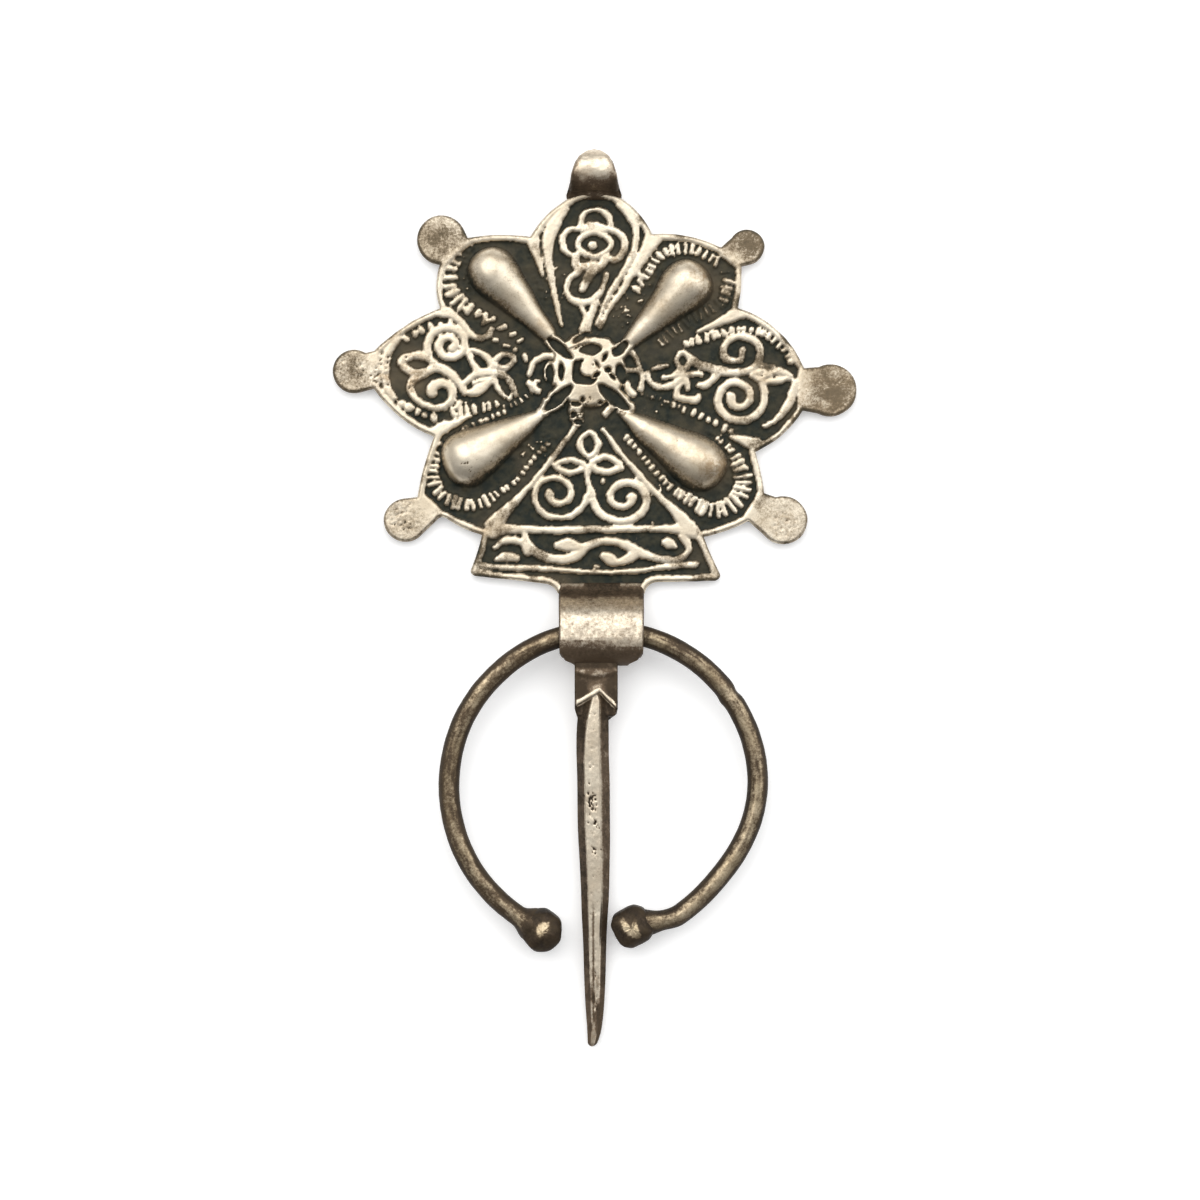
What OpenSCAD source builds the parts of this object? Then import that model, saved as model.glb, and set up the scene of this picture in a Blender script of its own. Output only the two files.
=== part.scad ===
// Cast silver brooch with a lobed plate, a long pin and a loose open ring.
// It lies on its back: X is across the plate, Y runs up to the bail, Z is the front.
// The plate's drawing has its zero on the foot of the plate, on its middle line.

/* [Plate] */
// Width of the plate across its two side tabs
plate_w = 78.6; // [70:0.2:88]
// Height of the plate, from its foot to the top of its upper lobe
plate_h = 59; // [54:0.5:65]
// Thickness of the plate at its rim
plate_t = 1.9; // [1.6:0.1:2.4]
// Depth of the sunk fields between the raised lines
field_d = 0.6; // [0.3:0.1:0.9]
// Width of the raised rim round the plate
rim_w = 0.9; // [0.6:0.1:1.2]
// Width of an ordinary raised line
line_w = 0.85; // [0.6:0.05:1]
// Width of a tick in the borders
tick_w = 0.6; // [0.45:0.05:0.75]

/* [Bosses] */
// Radius of the four teardrop bosses at their wide end
drop_r = 4; // [3.4:0.1:4.4]
// Height of the centre boss above the rim
boss_h = 0.8; // [0.4:0.1:1.4]
// Radius of the centre boss
boss_r = 5.9; // [5.2:0.1:6.6]
// Depth of the hollows cut into the centre boss
boss_cut_d = 0.5; // [0.2:0.1:0.8]

/* [Bail] */
// Outer radius of the bail, seen from the side
bail_r = 3.2; // [2.8:0.1:3.8]
// Radius of the hole through the bail
bail_bore_r = 1.5; // [1:0.1:1.7]
// Width of the bail at its root
bail_w = 7.4; // [6.4:0.1:8.4]

/* [Sleeve] */
// Outer radius of the sleeve that holds the ring
sleeve_r = 4.2; // [4:0.1:4.8]
// Radius of the hole through the sleeve
sleeve_bore_r = 2.9; // [2.8:0.1:3.1]
// Length of the sleeve along its hole
sleeve_len = 12.8; // [11:0.1:13.4]
// Distance from the plate's foot down to the sleeve's middle
sleeve_drop = 7.95; // [7.4:0.05:9]

/* [Pin] */
// Length of the pin, from the sleeve's middle to the tip
pin_len = 61; // [52:0.5:70]
// Width of the pin's shaft at its widest
pin_w = 4.9; // [4.2:0.1:5]
// Thickness of the pin's shaft at its thickest
pin_t = 4; // [3.4:0.1:4.6]
// Width of the block at the head of the pin
pin_head_w = 6.4; // [5.6:0.1:7]
// Length of the block at the head of the pin
pin_head_len = 8; // [7:0.1:9]
// Height of the pin's middle over the surface, at its tip
pin_tip_z = 1; // [0.8:0.1:2.4]
// Height of the V-shaped ridge on the pin's head
ridge_h = 0.3; // [0.1:0.1:0.5]

/* [Ring] */
// Radius of the ring, to the middle of its wire
ring_r = 23.05; // [21:0.05:24]
// Radius of the ring's wire
wire_r = 1.6; // [1.4:0.05:1.65]
// Radius of the round knob on the left end
knob_r = 3.15; // [2.8:0.05:3.3]
// Width of the cut knob on the right end, across its flats
cut_knob_w = 5.8; // [5:0.1:6]
// Clear gap between the cut knob and the pin
knob_gap = 0.25; // [0.2:0.05:0.6]

/* [Hidden] */

// Colours
SILVER = "#b9b3a2";
DARK_SILVER = "#8a8270";

// The size of the drawing that the tables below are made on. Its points stretch with the plate.
DRAW_W = 78.6;
DRAW_H = 59;

// Steps in the curves
TAB_STEPS = 14;
EDGE_STEPS = 3;
LINE_STEPS = 2;
TURN_STEPS = 12;
LOOP_STEPS = 14;

// The plate's outline, anticlockwise from the bail's left root.
// A bulge is the arc's height over half its chord, outwards.
// Columns: x, y, bulge, part (0 a lobe's edge, 1 a tab)
OUTLINE = [
    [-3.9, 57.8, 0.14, 0],
    [-9.6, 52.1, 0.10, 0],
    [-18.9, 51.9, 0, 0],
    [-19.4, 53.0, 1.5, 1],
    [-24.3, 48.2, 0, 1],
    [-23.1, 47.9, 0.18, 0],
    [-23.1, 41.4, 0.11, 0],
    [-32.9, 35.0, 0, 0],
    [-34.2, 34.7, 1.5, 1],
    [-35.1, 28.7, 0, 1],
    [-33.0, 29.3, 0.15, 0],
    [-24.0, 22.1, 0.06, 0],
    [-26.4, 13.1, 0, 0],
    [-28.4, 12.9, 1.38, 1],
    [-26.1, 7.1, 0, 1],
    [-23.0, 10.1, 0, 0],
    [-22.2, 9.9, 0.08, 0],
    [-16.8, 7.4, -0.05, 0],
    [-18.5, 2.1, 0.4, 0],
    [-17.6, 1.2, 0, 0],
    [-7.4, 0.1, -0.3, 0],
    [-5.4, -1.4, 0, 0],
    [7.6, -1.4, -0.4, 0],
    [9.6, 0.3, 0, 0],
    [17.9, 0.5, 0.4, 0],
    [18.9, 1.4, 0, 0],
    [16.4, 7.1, 0.09, 0],
    [23.1, 9.5, 0, 0],
    [25.6, 7.2, 1.85, 1],
    [27.2, 13.1, 0, 1],
    [25.5, 13.7, 0.05, 0],
    [24.2, 19.8, 0.15, 0],
    [31.3, 26.0, 0, 0],
    [33.6, 25.6, 1.65, 1],
    [33.6, 32.6, 0, 1],
    [31.5, 32.4, 0.23, 0],
    [21.6, 41.4, 0.08, 0],
    [22.1, 47.7, 0, 0],
    [23.6, 48.0, 1.5, 1],
    [20.6, 51.9, 0, 1],
    [19.0, 50.5, 0.15, 0],
    [8.7, 52.5, 0.16, 0],
    [3.9, 58.0, 0.28, 0]
];

// Raised lines, each a list of points along it.
// Columns: x, y, width in line widths

// The pear-shaped band of the upper lobe, its inner scrolls, and the webs that part it from its neighbours
UPPER_LINES = [
    [[-4.4, 56.3, 1.4], [-5.8, 54.4, 2.0], [-6.8, 51.8, 1.8], [-6.9, 49.0, 1.45], [-6.5, 46.4, 1.2],
     [-5.75, 42.6, 0.8], [-4.8, 38.9, 0.5]],
    [[4.1, 57.0, 1.5], [5.4, 55.3, 1.5], [6.2, 53.2, 1.15], [6.2, 51.3, 1.0], [5.6, 48.9, 1.0],
     [4.1, 46.2, 1.0], [2.4, 43.6, 0.85], [0.5, 39.0, 0.5]],
    [[-9.6, 52.4, 2.8], [-8.8, 50.2, 1.7], [-8.3, 48.4, 1.1], [-7.7, 46.3, 0.4]],
    [[8.9, 51.9, 3.0], [7.8, 50.0, 2.1], [6.4, 47.6, 1.4], [4.5, 44.5, 1.0], [2.5, 41.6, 0.8],
     [1.0, 38.4, 0.5]],
    [[-2.1, 53.2, 0.8], [-3.6, 53.2, 0.8], [-4.6, 52.3, 0.9], [-4.75, 51.0, 1.0], [-4.2, 49.9, 1.0],
     [-3.3, 49.3, 0.8]],
    [[-2.1, 53.3, 0.9], [-1.8, 54.7, 0.9], [-1.2, 55.8, 0.8], [0.1, 56.2, 0.7], [1.3, 56.0, 0.9],
     [2.2, 55.1, 1.1], [2.5, 53.9, 0.9]],
    [[1.8, 53.2, 1.0], [3.2, 52.9, 1.1], [4.3, 51.9, 1.2], [4.6, 50.7, 1.1], [4.2, 49.4, 1.1], [3.2, 48.6, 0.9],
     [2.2, 48.9, 1.0]],
    [[-1.7, 53.2, 1.2], [0, 53.5, 1.9], [1.7, 53.2, 1.3]],
    [[-2.7, 49.2, 1.4], [-2.7, 47.9, 1.2], [-2.4, 46.8, 1.2], [-3.4, 45.9, 1.0], [-4.1, 44.6, 0.9],
     [-3.9, 43.3, 1.0], [-2.9, 42.5, 1.2], [-1.4, 42.3, 1.2], [0.0, 42.7, 1.3], [1.0, 43.9, 1.0],
     [1.5, 45.2, 0.8], [1.8, 46.4, 0.9]],
    [[1.8, 49.0, 1.4], [1.2, 47.9, 1.4], [-0.3, 46.8, 1.6], [-1.2, 45.4, 1.4], [-1.7, 44.3, 1.1]],
    [[-1.8, 47.6, 1.5], [0.2, 47.7, 1.6]],
    [[-2.0, 42.2, 0.8], [-1.8, 41.2, 0.75], [-1.3, 40.2, 0.9], [-1.2, 39.2, 1.4], [-1.3, 38.3, 2.0]],
    [[0.3, 42.3, 1.2], [-0.2, 41.0, 1.15], [-0.8, 39.6, 1.1], [-1.0, 38.6, 1.3]]
];

// The left lobe: its webs, stem, lower scroll, beaded edge and flower
LEFT_LINES = [
    [[-23.6, 41.0, 2.2], [-21.4, 40.5, 1.6], [-19.9, 39.2, 1.2], [-18.6, 37.6, 1.1], [-17.6, 37.0, 1.0],
     [-15.9, 37.2, 1.0], [-15.3, 38.3, 0.8]],
    [[-24.0, 22.3, 2.4], [-22.7, 23.4, 2.0], [-20.8, 24.2, 1.2], [-18.6, 25.2, 0.6]],
    [[-25.3, 31.9, 1.1], [-23.6, 32.5, 1.6], [-22.0, 31.9, 1.6], [-20.8, 30.8, 1.5], [-19.8, 29.6, 1.4],
     [-19.3, 28.7, 1.0]],
    [[-25.3, 31.4, 0.9], [-26.8, 30.8, 1.3], [-27.4, 29.6, 1.3], [-27.0, 28.2, 1.0], [-25.9, 27.2, 1.0],
     [-24.5, 26.6, 1.1], [-23.0, 26.5, 1.1], [-21.7, 27.2, 1.2], [-21.2, 28.6, 1.3], [-21.8, 29.8, 1.3],
     [-23.0, 30.2, 1.5], [-24.1, 29.6, 1.7], [-24.2, 28.6, 1.6]],
    [[-19.6, 30.0, 1.0], [-18.5, 31.0, 1.1], [-17.3, 31.6, 1.4], [-15.9, 31.7, 1.5], [-14.3, 31.6, 1.2],
     [-13.1, 31.1, 1.0], [-12.3, 30.0, 0.9], [-11.6, 28.4, 0.6]],
    [[-18.9, 35.1, 0.8], [-18.5, 33.7, 0.9], [-17.5, 32.2, 1.2]],
    [[-18.3, 35.2, 0.7], [-16.9, 34.6, 1.1], [-15.8, 33.8, 1.1], [-15.3, 32.5, 0.9]],
    [[-15.2, 31.4, 1.0], [-14.8, 30.2, 0.9], [-14.2, 29.1, 1.0], [-13.4, 28.3, 0.7]],
    [[-18.7, 28.6, 0.9], [-17.4, 29.1, 1.6], [-16.2, 29.9, 1.4], [-15.4, 30.8, 0.8]],
    [[-18.1, 30.1, 0.5], [-16.9, 30.5, 0.6], [-15.8, 30.6, 0.7]],
    [[-29.3, 36.8, 1.2], [-30.7, 35.0, 1.5], [-31.3, 33.0, 1.6], [-31.3, 31.0, 1.6], [-30.8, 29.2, 1.4],
     [-29.9, 27.9, 1.0]]
];

// The right lobe: its webs, edge line, stem, upper scroll, buds and cross-shaped flower
RIGHT_LINES = [
    [[22.2, 41.0, 2.6], [20.2, 40.0, 1.9], [18.3, 39.1, 1.2], [16.8, 38.4, 0.85], [15.6, 37.8, 0.5]],
    [[24.0, 20.9, 2.5], [22.6, 21.5, 1.8], [20.5, 22.0, 0.6]],
    [[30.1, 30.2, 1.3], [29.7, 28.4, 1.5], [29.0, 26.9, 1.4], [28.0, 25.5, 1.1], [26.8, 24.4, 0.8],
     [25.4, 23.7, 0.5]],
    [[14.2, 34.2, 1.0], [15.4, 33.1, 1.3], [17.2, 32.5, 1.4], [19.0, 32.0, 1.5], [21.0, 31.8, 1.3],
     [22.8, 32.0, 1.3], [24.1, 32.7, 1.2], [24.8, 33.9, 1.2], [24.8, 35.2, 1.25], [24.0, 36.5, 1.2],
     [22.6, 37.1, 1.1], [21.0, 37.0, 1.1], [19.8, 36.2, 1.1], [19.4, 34.9, 1.15], [19.8, 33.8, 1.3],
     [21.0, 33.5, 0.9], [22.1, 33.8, 1.0], [22.2, 35.0, 1.15]],
    [[23.8, 31.4, 1.4], [25.2, 31.5, 1.8], [26.2, 31.5, 1.4]],
    [[25.2, 32.7, 1.0], [26.8, 32.6, 0.9]],
    [[26.9, 31.7, 1.0], [28.0, 31.8, 1.5], [29.3, 31.2, 0.9]],
    [[26.0, 30.3, 1.0], [27.4, 30.45, 1.2], [29.2, 30.9, 0.8]],
    [[8.0, 31.6, 0.9], [8.5, 30.3, 1.0], [9.9, 29.5, 1.1], [11.4, 29.7, 1.1], [12.9, 30.6, 1.3]],
    [[8.8, 32.3, 0.5], [10.0, 32.6, 0.7], [11.0, 32.8, 0.6]],
    [[10.5, 31.0, 0.8], [11.6, 31.1, 0.8], [13.0, 31.5, 1.7], [13.7, 30.3, 1.1], [14.0, 29.3, 0.8]],
    [[13.1, 30.0, 0.7], [12.4, 29.1, 0.8], [12.5, 28.1, 1.1], [13.8, 27.8, 1.1], [15.2, 27.6, 1.4],
     [15.7, 28.3, 0.7]],
    [[13.9, 31.3, 0.8], [15.0, 31.5, 1.0], [15.9, 31.4, 0.8]],
    [[15.8, 29.8, 0.9], [16.6, 29.8, 1.15], [17.5, 30.5, 1.0], [18.4, 31.5, 1.2]]
];

// The lower triangle: its sides, foot line and stem
LOWER_LINES = [
    [[-2.8, 23.7, 0.7], [-4.8, 20.9, 0.7], [-6.8, 18.2, 0.8], [-8.9, 15.6, 0.95], [-11.2, 13.0, 1.1],
     [-13.0, 11.2, 1.8], [-15.0, 8.8, 3.0]],
    [[1.4, 23.2, 0.6], [3.5, 20.3, 0.8], [5.5, 17.8, 0.9], [7.7, 15.4, 1.1], [9.9, 13.1, 1.1],
     [11.9, 11.2, 1.5], [14.0, 8.8, 2.6]],
    [[-15.2, 7.9, 2.4], [-12.6, 8.3, 1.5], [-7.0, 8.15, 1.15], [0, 8.25, 1.1], [7.0, 8.3, 1.1], [11.5, 8.3, 1.3],
     [14.8, 8.0, 2.4]],
    [[-0.9, 17.4, 1.4], [-0.95, 16.0, 0.7], [-0.7, 14.6, 0.9], [-0.5, 13.4, 1.5]],
    [[3.0, 16.9, 0.9], [4.1, 17.4, 0.8]]
];

// The foot's band: a wave, its curls and leaves, and the line under them
FOOT_LINES = [
    [[-10.4, 7.8, 1.0], [-9.9, 6.2, 1.3], [-8.6, 4.7, 1.7], [-6.4, 3.9, 1.6], [-3.8, 3.9, 1.5], [-2.4, 4.5, 1.7],
     [-0.8, 5.8, 1.4], [0.8, 6.4, 1.2], [2.8, 6.5, 1.15], [4.8, 5.9, 1.35], [6.6, 4.9, 1.5], [8.6, 4.2, 1.3],
     [10.6, 3.7, 1.15], [12.3, 3.7, 1.1], [13.6, 4.4, 1.1], [14.2, 5.5, 1.1], [13.2, 7.2, 1.2]],
    [[-5.5, 5.9, 1.2], [-4.2, 5.95, 2.2], [-2.8, 5.7, 1.8], [-1.4, 5.4, 1.4]],
    [[1.5, 4.3, 1.2], [2.4, 3.8, 1.9], [3.4, 3.4, 1.2], [4.6, 3.6, 1.3], [5.8, 4.3, 1.9]],
    [[-14.9, 5.6, 0.6], [-13.6, 6.4, 1.0], [-11.9, 6.6, 1.2], [-10.6, 6.1, 1.3], [-10.0, 4.9, 1.4]],
    [[-14.6, 3.8, 0.7], [-13.2, 4.1, 1.6], [-11.6, 3.9, 1.3]],
    [[10.5, 6.4, 0.9], [11.2, 6.2, 1.7], [12.0, 5.7, 0.9]],
    [[-16.4, 2.7, 1.1], [-13.4, 2.5, 0.85], [-8.1, 2.4, 0.8], [-1.6, 1.95, 0.65], [1.8, 1.8, 0.6], [5.4, 1.95, 0.7],
     [10.3, 2.6, 0.8], [15.2, 3.0, 1.0]]
];

// Arcs of raised metal beside the centre boss
BOSS_LINES = [
    [[-6.2, 34.2, 1.2], [-7.6, 34.05, 1.1], [-8.7, 33.4, 1], [-9.4, 32.3, 0.9], [-9.7, 31.3, 0.7]],
    [[5.5, 34.9, 0.8], [6.3, 33.8, 0.75], [6.85, 32.5, 0.75], [7.2, 31.3, 0.75], [7.05, 30, 0.7],
     [6.9, 29.3, 0.9]],
    [[5.2, 32.1, 0.7], [6.8, 32, 0.7]],
    [[-9.6, 30.1, 1], [-9, 29.4, 1.2], [-8.4, 29, 1]],
    [[4.9, 30.2, 0.7], [5.1, 29.2, 0.9], [5.9, 28.4, 0.9]],
    [[2.6, 26.5, 1.2], [1.7, 25.6, 1.1]]
];

// Spirals. Columns: x, y, outer radius, inner radius, start angle, turns (below 0 clockwise), width, squash
SPIRALS = [
    [-21.7, 35.9, 3.4, 0.8, 205, -1.69, 1.3, 0.92],
    [21.45, 27.95, 4.4, 1.0, 50, -1.66, 1.3, 0.98],
    [-5.6, 13.55, 4.6, 1.15, -5, -1.5, 1.0, 0.9],
    [4.5, 12.95, 4.75, 1.0, 185, 1.5, 1.3, 0.85]
];

// Leaf-shaped loops of raised line. Columns: x, y, half length, half width, angle, line width
LOOPS = [
    [-26.4, 33.0, 3.1, 1.95, -5, 1.35],
    [-13.4, 33.4, 1.9, 1.45, 15, 0.95],
    [-0.75, 21.0, 2.2, 1.85, 90, 0.9],
    [-3.6, 17.7, 2.5, 1.35, -3, 0.9],
    [1.8, 17.9, 2.6, 1.6, -4, 1.05],
    [0, 50.95, 2.9, 2.35, 0, 1.0],
    [13.35, 33.5, 1.6, 1.35, 90, 0.8]
];

// Round studs. Columns: x, y, radius
STUDS = [
    [-0.2, 50.8, 0.65]
];

// Rows of ticks, square to a guide. Columns: x, y, length of the tick there
TICK_GUIDES = [
    [[-20.4, 49.6, 1.5], [-21.4, 47.0, 2.0], [-21.4, 44.2, 2.1], [-19.9, 42.1, 2.0],
     [-17.4, 40.6, 1.6], [-15.0, 39.9, 1.2]],
    [[6.4, 44.4, 1.2], [8.2, 46.9, 1.5], [9.9, 49.3, 1.6], [12.6, 50.3, 1.5], [15.4, 49.9, 1.5],
     [18.3, 48.4, 1.5]],
    [[20.1, 45.4, 1.8], [19.4, 42.6, 1.8]],
    [[-13.4, 25.9, 0.8], [-16.3, 24.6, 0.8], [-19.3, 23.1, 1.0], [-21.8, 21.3, 1.3], [-23.6, 18.9, 1.4],
     [-24.1, 16.4, 1.8], [-23.2, 14.0, 2.1], [-21.2, 12.5, 2.2], [-18.8, 11.9, 2.1], [-16.3, 12.4, 1.9],
     [-14.0, 13.9, 1.3], [-11.6, 15.6, 0.8], [-9.3, 18.6, 0.8], [-6.9, 21.1, 0.8]],
    [[18.3, 21.9, 0.8], [20.3, 20.2, 1.1], [21.8, 17.7, 1.7], [22.3, 15.1, 2.2], [21.4, 12.8, 2.2],
     [19.2, 11.3, 2.2], [16.6, 11.4, 2.0], [14.1, 12.9, 1.8], [11.4, 14.6, 1.2], [9.1, 17.1, 0.9],
     [7.0, 19.6, 0.8], [4.8, 22.0, 0.8]],
    [[-28.3, 36.7, 1.2], [-26.6, 37.7, 1.1], [-24.6, 38.6, 1.2], [-22.9, 39.1, 1.0], [-21.4, 39.4, 0.7]],
    [[-28.9, 27.2, 1.1], [-27.2, 26.1, 1.3], [-25.5, 25.4, 1.3], [-24.0, 25.0, 1.1]],
    [[-21.2, 25.9, 1.8], [-19.2, 26.0, 1.9], [-17.6, 26.3, 1.7], [-16.0, 26.7, 1.6], [-14.5, 27.1, 1.2]],
    [[13.9, 36.0, 1.2], [16.0, 36.8, 1.3], [18.5, 37.5, 1.3], [21.3, 38.2, 1.0], [24.1, 38.0, 1.1],
     [26.4, 36.9, 1.2], [28.2, 35.3, 1.1], [29.4, 33.3, 1.0]],
    [[15.0, 25.8, 1.3], [16.7, 24.8, 1.1], [18.0, 24.3, 1.1], [19.3, 23.5, 1.2], [20.5, 22.9, 1.0]]
];

// Teardrop bosses. Columns: x and y of the wide end, x and y of the tip, radius as a share,
// tip's radius as a share of that
DROPS = [
    [-17.7, 49.8, -6.9, 37.4, 0.92, 0.36],
    [16.7, 47.6, 5.6, 36.6, 0.97, 0.33],
    [-22.3, 16.8, -8.4, 25.1, 1.06, 0.26],
    [19.3, 15.8, 4.4, 25.5, 1, 0.16]
];

// A teardrop's half section. Columns: share of its length from the wide end, share of its radius
DROP_SECTION = [
    [0.02, 0.4],
    [0.08, 0.78],
    [0.2, 1],
    [0.34, 0.96],
    [0.55, 0.74],
    [0.78, 0.5]
];

// Arms of the centre boss, towards the teardrops and the foot. Columns: x, y, width
BOSS_ARMS = [
    [[-6.8, 37.2, 2.7], [-5.2, 35.4, 3.4], [-3, 33.6, 4.6]],
    [[5.5, 36.4, 2.3], [4.1, 35, 3.3], [1.5, 33.3, 4.6]],
    [[-8, 25.6, 2], [-6.5, 27, 3.2], [-5.4, 28, 3.6], [-3.2, 30, 3.8]],
    [[5.4, 26.4, 2.3], [4.3, 27.1, 3.2], [3, 28.2, 3.5], [1, 30, 4]],
    [[-2.4, 28.2, 3.4], [-2.6, 26.6, 3], [-2.5, 25, 2.7], [-2.4, 24.1, 1.6]],
    [[-2, 31.9, 5.4], [-5.6, 31.7, 5]],
    [[-0.3, 33.5, 6], [-0.3, 35.25, 5.9]],
    [[0, 31.8, 5.4], [2.6, 31.8, 4.9], [3.6, 31.4, 3.8]]
];

// Hollows in the centre boss. Columns: x, y, half length, half width, angle
BOSS_CENTRE = [-0.9, 32.1];
BOSS_CUTS = [
    [-5.15, 35.35, 2.4, 0.78, -40],
    [3.95, 35.25, 1.45, 0.7, 50],
    [-5.4, 27.8, 2.85, 0.88, 41],
    [3, 27.9, 2.95, 1, -40],
    [-2.05, 36.95, 1.3, 0.42, 33],
    [-0.5, 37.3, 1.3, 0.38, -2],
    [-0.5, 35.2, 1.65, 0.85, 4],
    [-4.9, 31.9, 1.35, 0.45, 95],
    [-6.6, 31.3, 1.75, 0.65, 92],
    [4.1, 31.5, 1.6, 0.85, 108],
    [2.1, 32.1, 0.5, 0.33, -30],
    [1.6, 33.9, 0.6, 0.28, 60],
    [-2.7, 27, 0.85, 0.38, -10],
    [-3.1, 25.4, 0.55, 0.38, 80],
    [-2.3, 24.2, 0.75, 0.25, -10]
];

// The eye: a ring-shaped hollow. Its middle, and its inner and outer radius
EYE_CENTRE = [-1.4, 31.8];
EYE_R = [0.9, 1.85];

// The pin's shaft. Columns: share of its length, share of its size, sideways offset as a share of its width
SHAFT = [
    [0, 0.8, 0.04],
    [0.1, 0.97, -0.03],
    [0.25, 1, -0.02],
    [0.41, 0.97, 0],
    [0.57, 0.86, 0.03],
    [0.7, 0.73, 0.03],
    [0.86, 0.61, 0.03],
    [0.95, 0.45, 0.015],
    [1, 0.26, -0.06]
];
// The shaft's section: an octagon with a narrow flat in front. Columns: x, z as shares of the half sizes
SHAFT_SECTION = [
    [0.46, 1],
    [-0.46, 1],
    [-1, 0.3],
    [-1, -0.3],
    [-0.46, -1],
    [0.46, -1],
    [1, -0.3],
    [1, 0.3]
];

// The bail's half width going up. Columns: share of its half width, share of its height
BAIL_SHAPE = [
    [1.12, 0],
    [0.97, 0.2],
    [0.92, 0.42],
    [0.8, 0.66],
    [0.64, 0.85],
    [0.4, 0.96],
    [0.15, 1]
];
// The bail's hole lies this far above the plate, and its root starts this far below the plate's top
BAIL_RISE = 2.8;
BAIL_ROOT = 1.4;

// The sleeve's middle lies this far right of the plate's middle line
SLEEVE_SHIFT = 1.1;
// The sleeve's rounded lower corners. Columns: distance in from its end, height over its lower edge
SLEEVE_CORNER = [
    [0.2, 1.9],
    [0.9, 0.7],
    [2.1, 0.15],
    [2.6, -0.5]
];
// The ramp from the plate up to the sleeve's top, at the plate. Columns: y, height over the plate
RAMP_FOOT = [
    [0.5, -0.3],
    [-1, 0.2]
];
// The same ramp, at the sleeve. Columns: y and z from the sleeve's lowest point, as shares of its radius
RAMP_HEAD = [
    [0.93, 1.74],
    [0.6, 1.93],
    [0, 2]
];
// The ramp's plan reaches this far over the plate's foot
RAMP_TOP = 1;

// The foot of the pin's head. Columns: share of its width from the left, height over its lower end
HEAD_FOOT = [
    [0, 1.6],
    [0.08, -0.1],
    [0.81, 0],
    [0.97, 0.8],
    [1, 1.6]
];
// Shares of the pin head's width: how much lies left of the sleeve's middle, and where the ridge's apex is
HEAD_LEFT = 0.62;
RIDGE_APEX = 0.58;
// How far in and how far down the ridge's arms end, the drops as shares of the head's width
ARM_INSET = 0.4;
LEFT_ARM_DROP = 0.3;
RIGHT_ARM_DROP = 0.35;
// Widths of the ridge at its arms and its apex, and how far it stands back from the step below it
RIDGE_W = [0.5, 0.7];
RIDGE_BACK = 0.3;
// The ridge's place down the head, the height beside the shaft, the bite into the sleeve's wall: all shares
RIDGE_AT = 0.45;
HEAD_LOW = 0.68;
HEAD_BITE = 0.6;
// The pin's middle lies this far under the sleeve's
PIN_DROP = 0.2;

// A leaf's raised wall, in line widths, and how much its ends are pinched
SPIRAL_EASE = 1.2;
LEAF_PINCH = 0.25;
// Hair's breadths that the cut shapes stand back from the lines round them
FIELD_GAP = 0.02;
CUT_GAP = 0.01;
// A teardrop's sink into the plate as a share of its radius, and its lean towards the tip
DROP_SINK = 0.3;
DROP_LEAN = 2;
// How much the centre boss narrows upwards
BOSS_TAPER = 0.7;
ARM_STEP = 0.1;

// Facets round large, middle-sized and small curves
LARGE_FN = 96;
MIDDLE_FN = 64;
SMALL_FN = 48;
STUD_FN = 10;
EYE_FN = [12, 18];
WIRE_FN = 24;

// The ring's rise in the sleeve, as a share of its bend over half the sleeve's length
RISE_SHARE = 1.08;
// The ring's middle lies this far right of the sleeve's
RING_SHIFT = 0.3;
// The knobs lie this far out of the wire's circle
KNOB_OUT = 0.8;
CUT_KNOB_OUT = -1.2;
// The round knob's place on the ring, as an angle from straight down
KNOB_ANGLE = 22.7;
// The cut knob is turned this much, and its corner then reaches this share of its width from its middle
CUT_KNOB_TURN = 20;
CUT_KNOB_REACH = 0.58;
// The width of the cube that cuts the knob's edges off, as a share of the knob's
EDGE_CUT = 1.16;
// The pin's side beside the cut knob, as a share of the pin's width from its middle
PIN_SIDE = 0.425;

// Places worked out from the sizes above
stretch_x = plate_w / DRAW_W;
stretch_y = plate_h / DRAW_H;
sleeve_x = SLEEVE_SHIFT * stretch_x;
sleeve_y = -sleeve_drop;
sleeve_wall = sleeve_r - sleeve_bore_r;
pin_tip_y = sleeve_y - pin_len;
pin_z = sleeve_r - PIN_DROP;
pin_head_y = sleeve_y - sleeve_r;
ridge_y = pin_head_y - RIDGE_AT * pin_head_len;
shaft_len = ridge_y - pin_tip_y;
bail_y = plate_h + BAIL_RISE;
bail_root = plate_h - BAIL_ROOT;
field_z = plate_t - field_d;
// The raised parts start at this height, inside the plate
bed_z = field_z / 2;
boss_top = plate_t + boss_h;

// The ring lies centred at the sleeve's ends, so its wire is higher than the hole's middle inside
half_sleeve = sleeve_len / 2;
ring_rise = RISE_SHARE * (ring_r - sqrt(ring_r * ring_r - half_sleeve * half_sleeve));
ring_x = sleeve_x + RING_SHIFT;
cut_knob_x = PIN_SIDE * pin_w + knob_gap + CUT_KNOB_REACH * cut_knob_w;
cut_knob_at = ring_r + CUT_KNOB_OUT;
cut_knob_angle = asin((cut_knob_x - ring_x) / cut_knob_at);
// It leans down from the sleeve until its round knob lies on the surface
knob_at = ring_r + KNOB_OUT;
knob_reach = knob_at * cos(KNOB_ANGLE) + ring_r - ring_rise;
ring_tilt = asin((sleeve_r - knob_r) / knob_reach);

// A point of the drawing, stretched to the plate's size
function grid(p) = [p[0] * stretch_x, p[1] * stretch_y];

function turned(v, a) = [v[0] * cos(a) - v[1] * sin(a), v[0] * sin(a) + v[1] * cos(a)];

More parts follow.
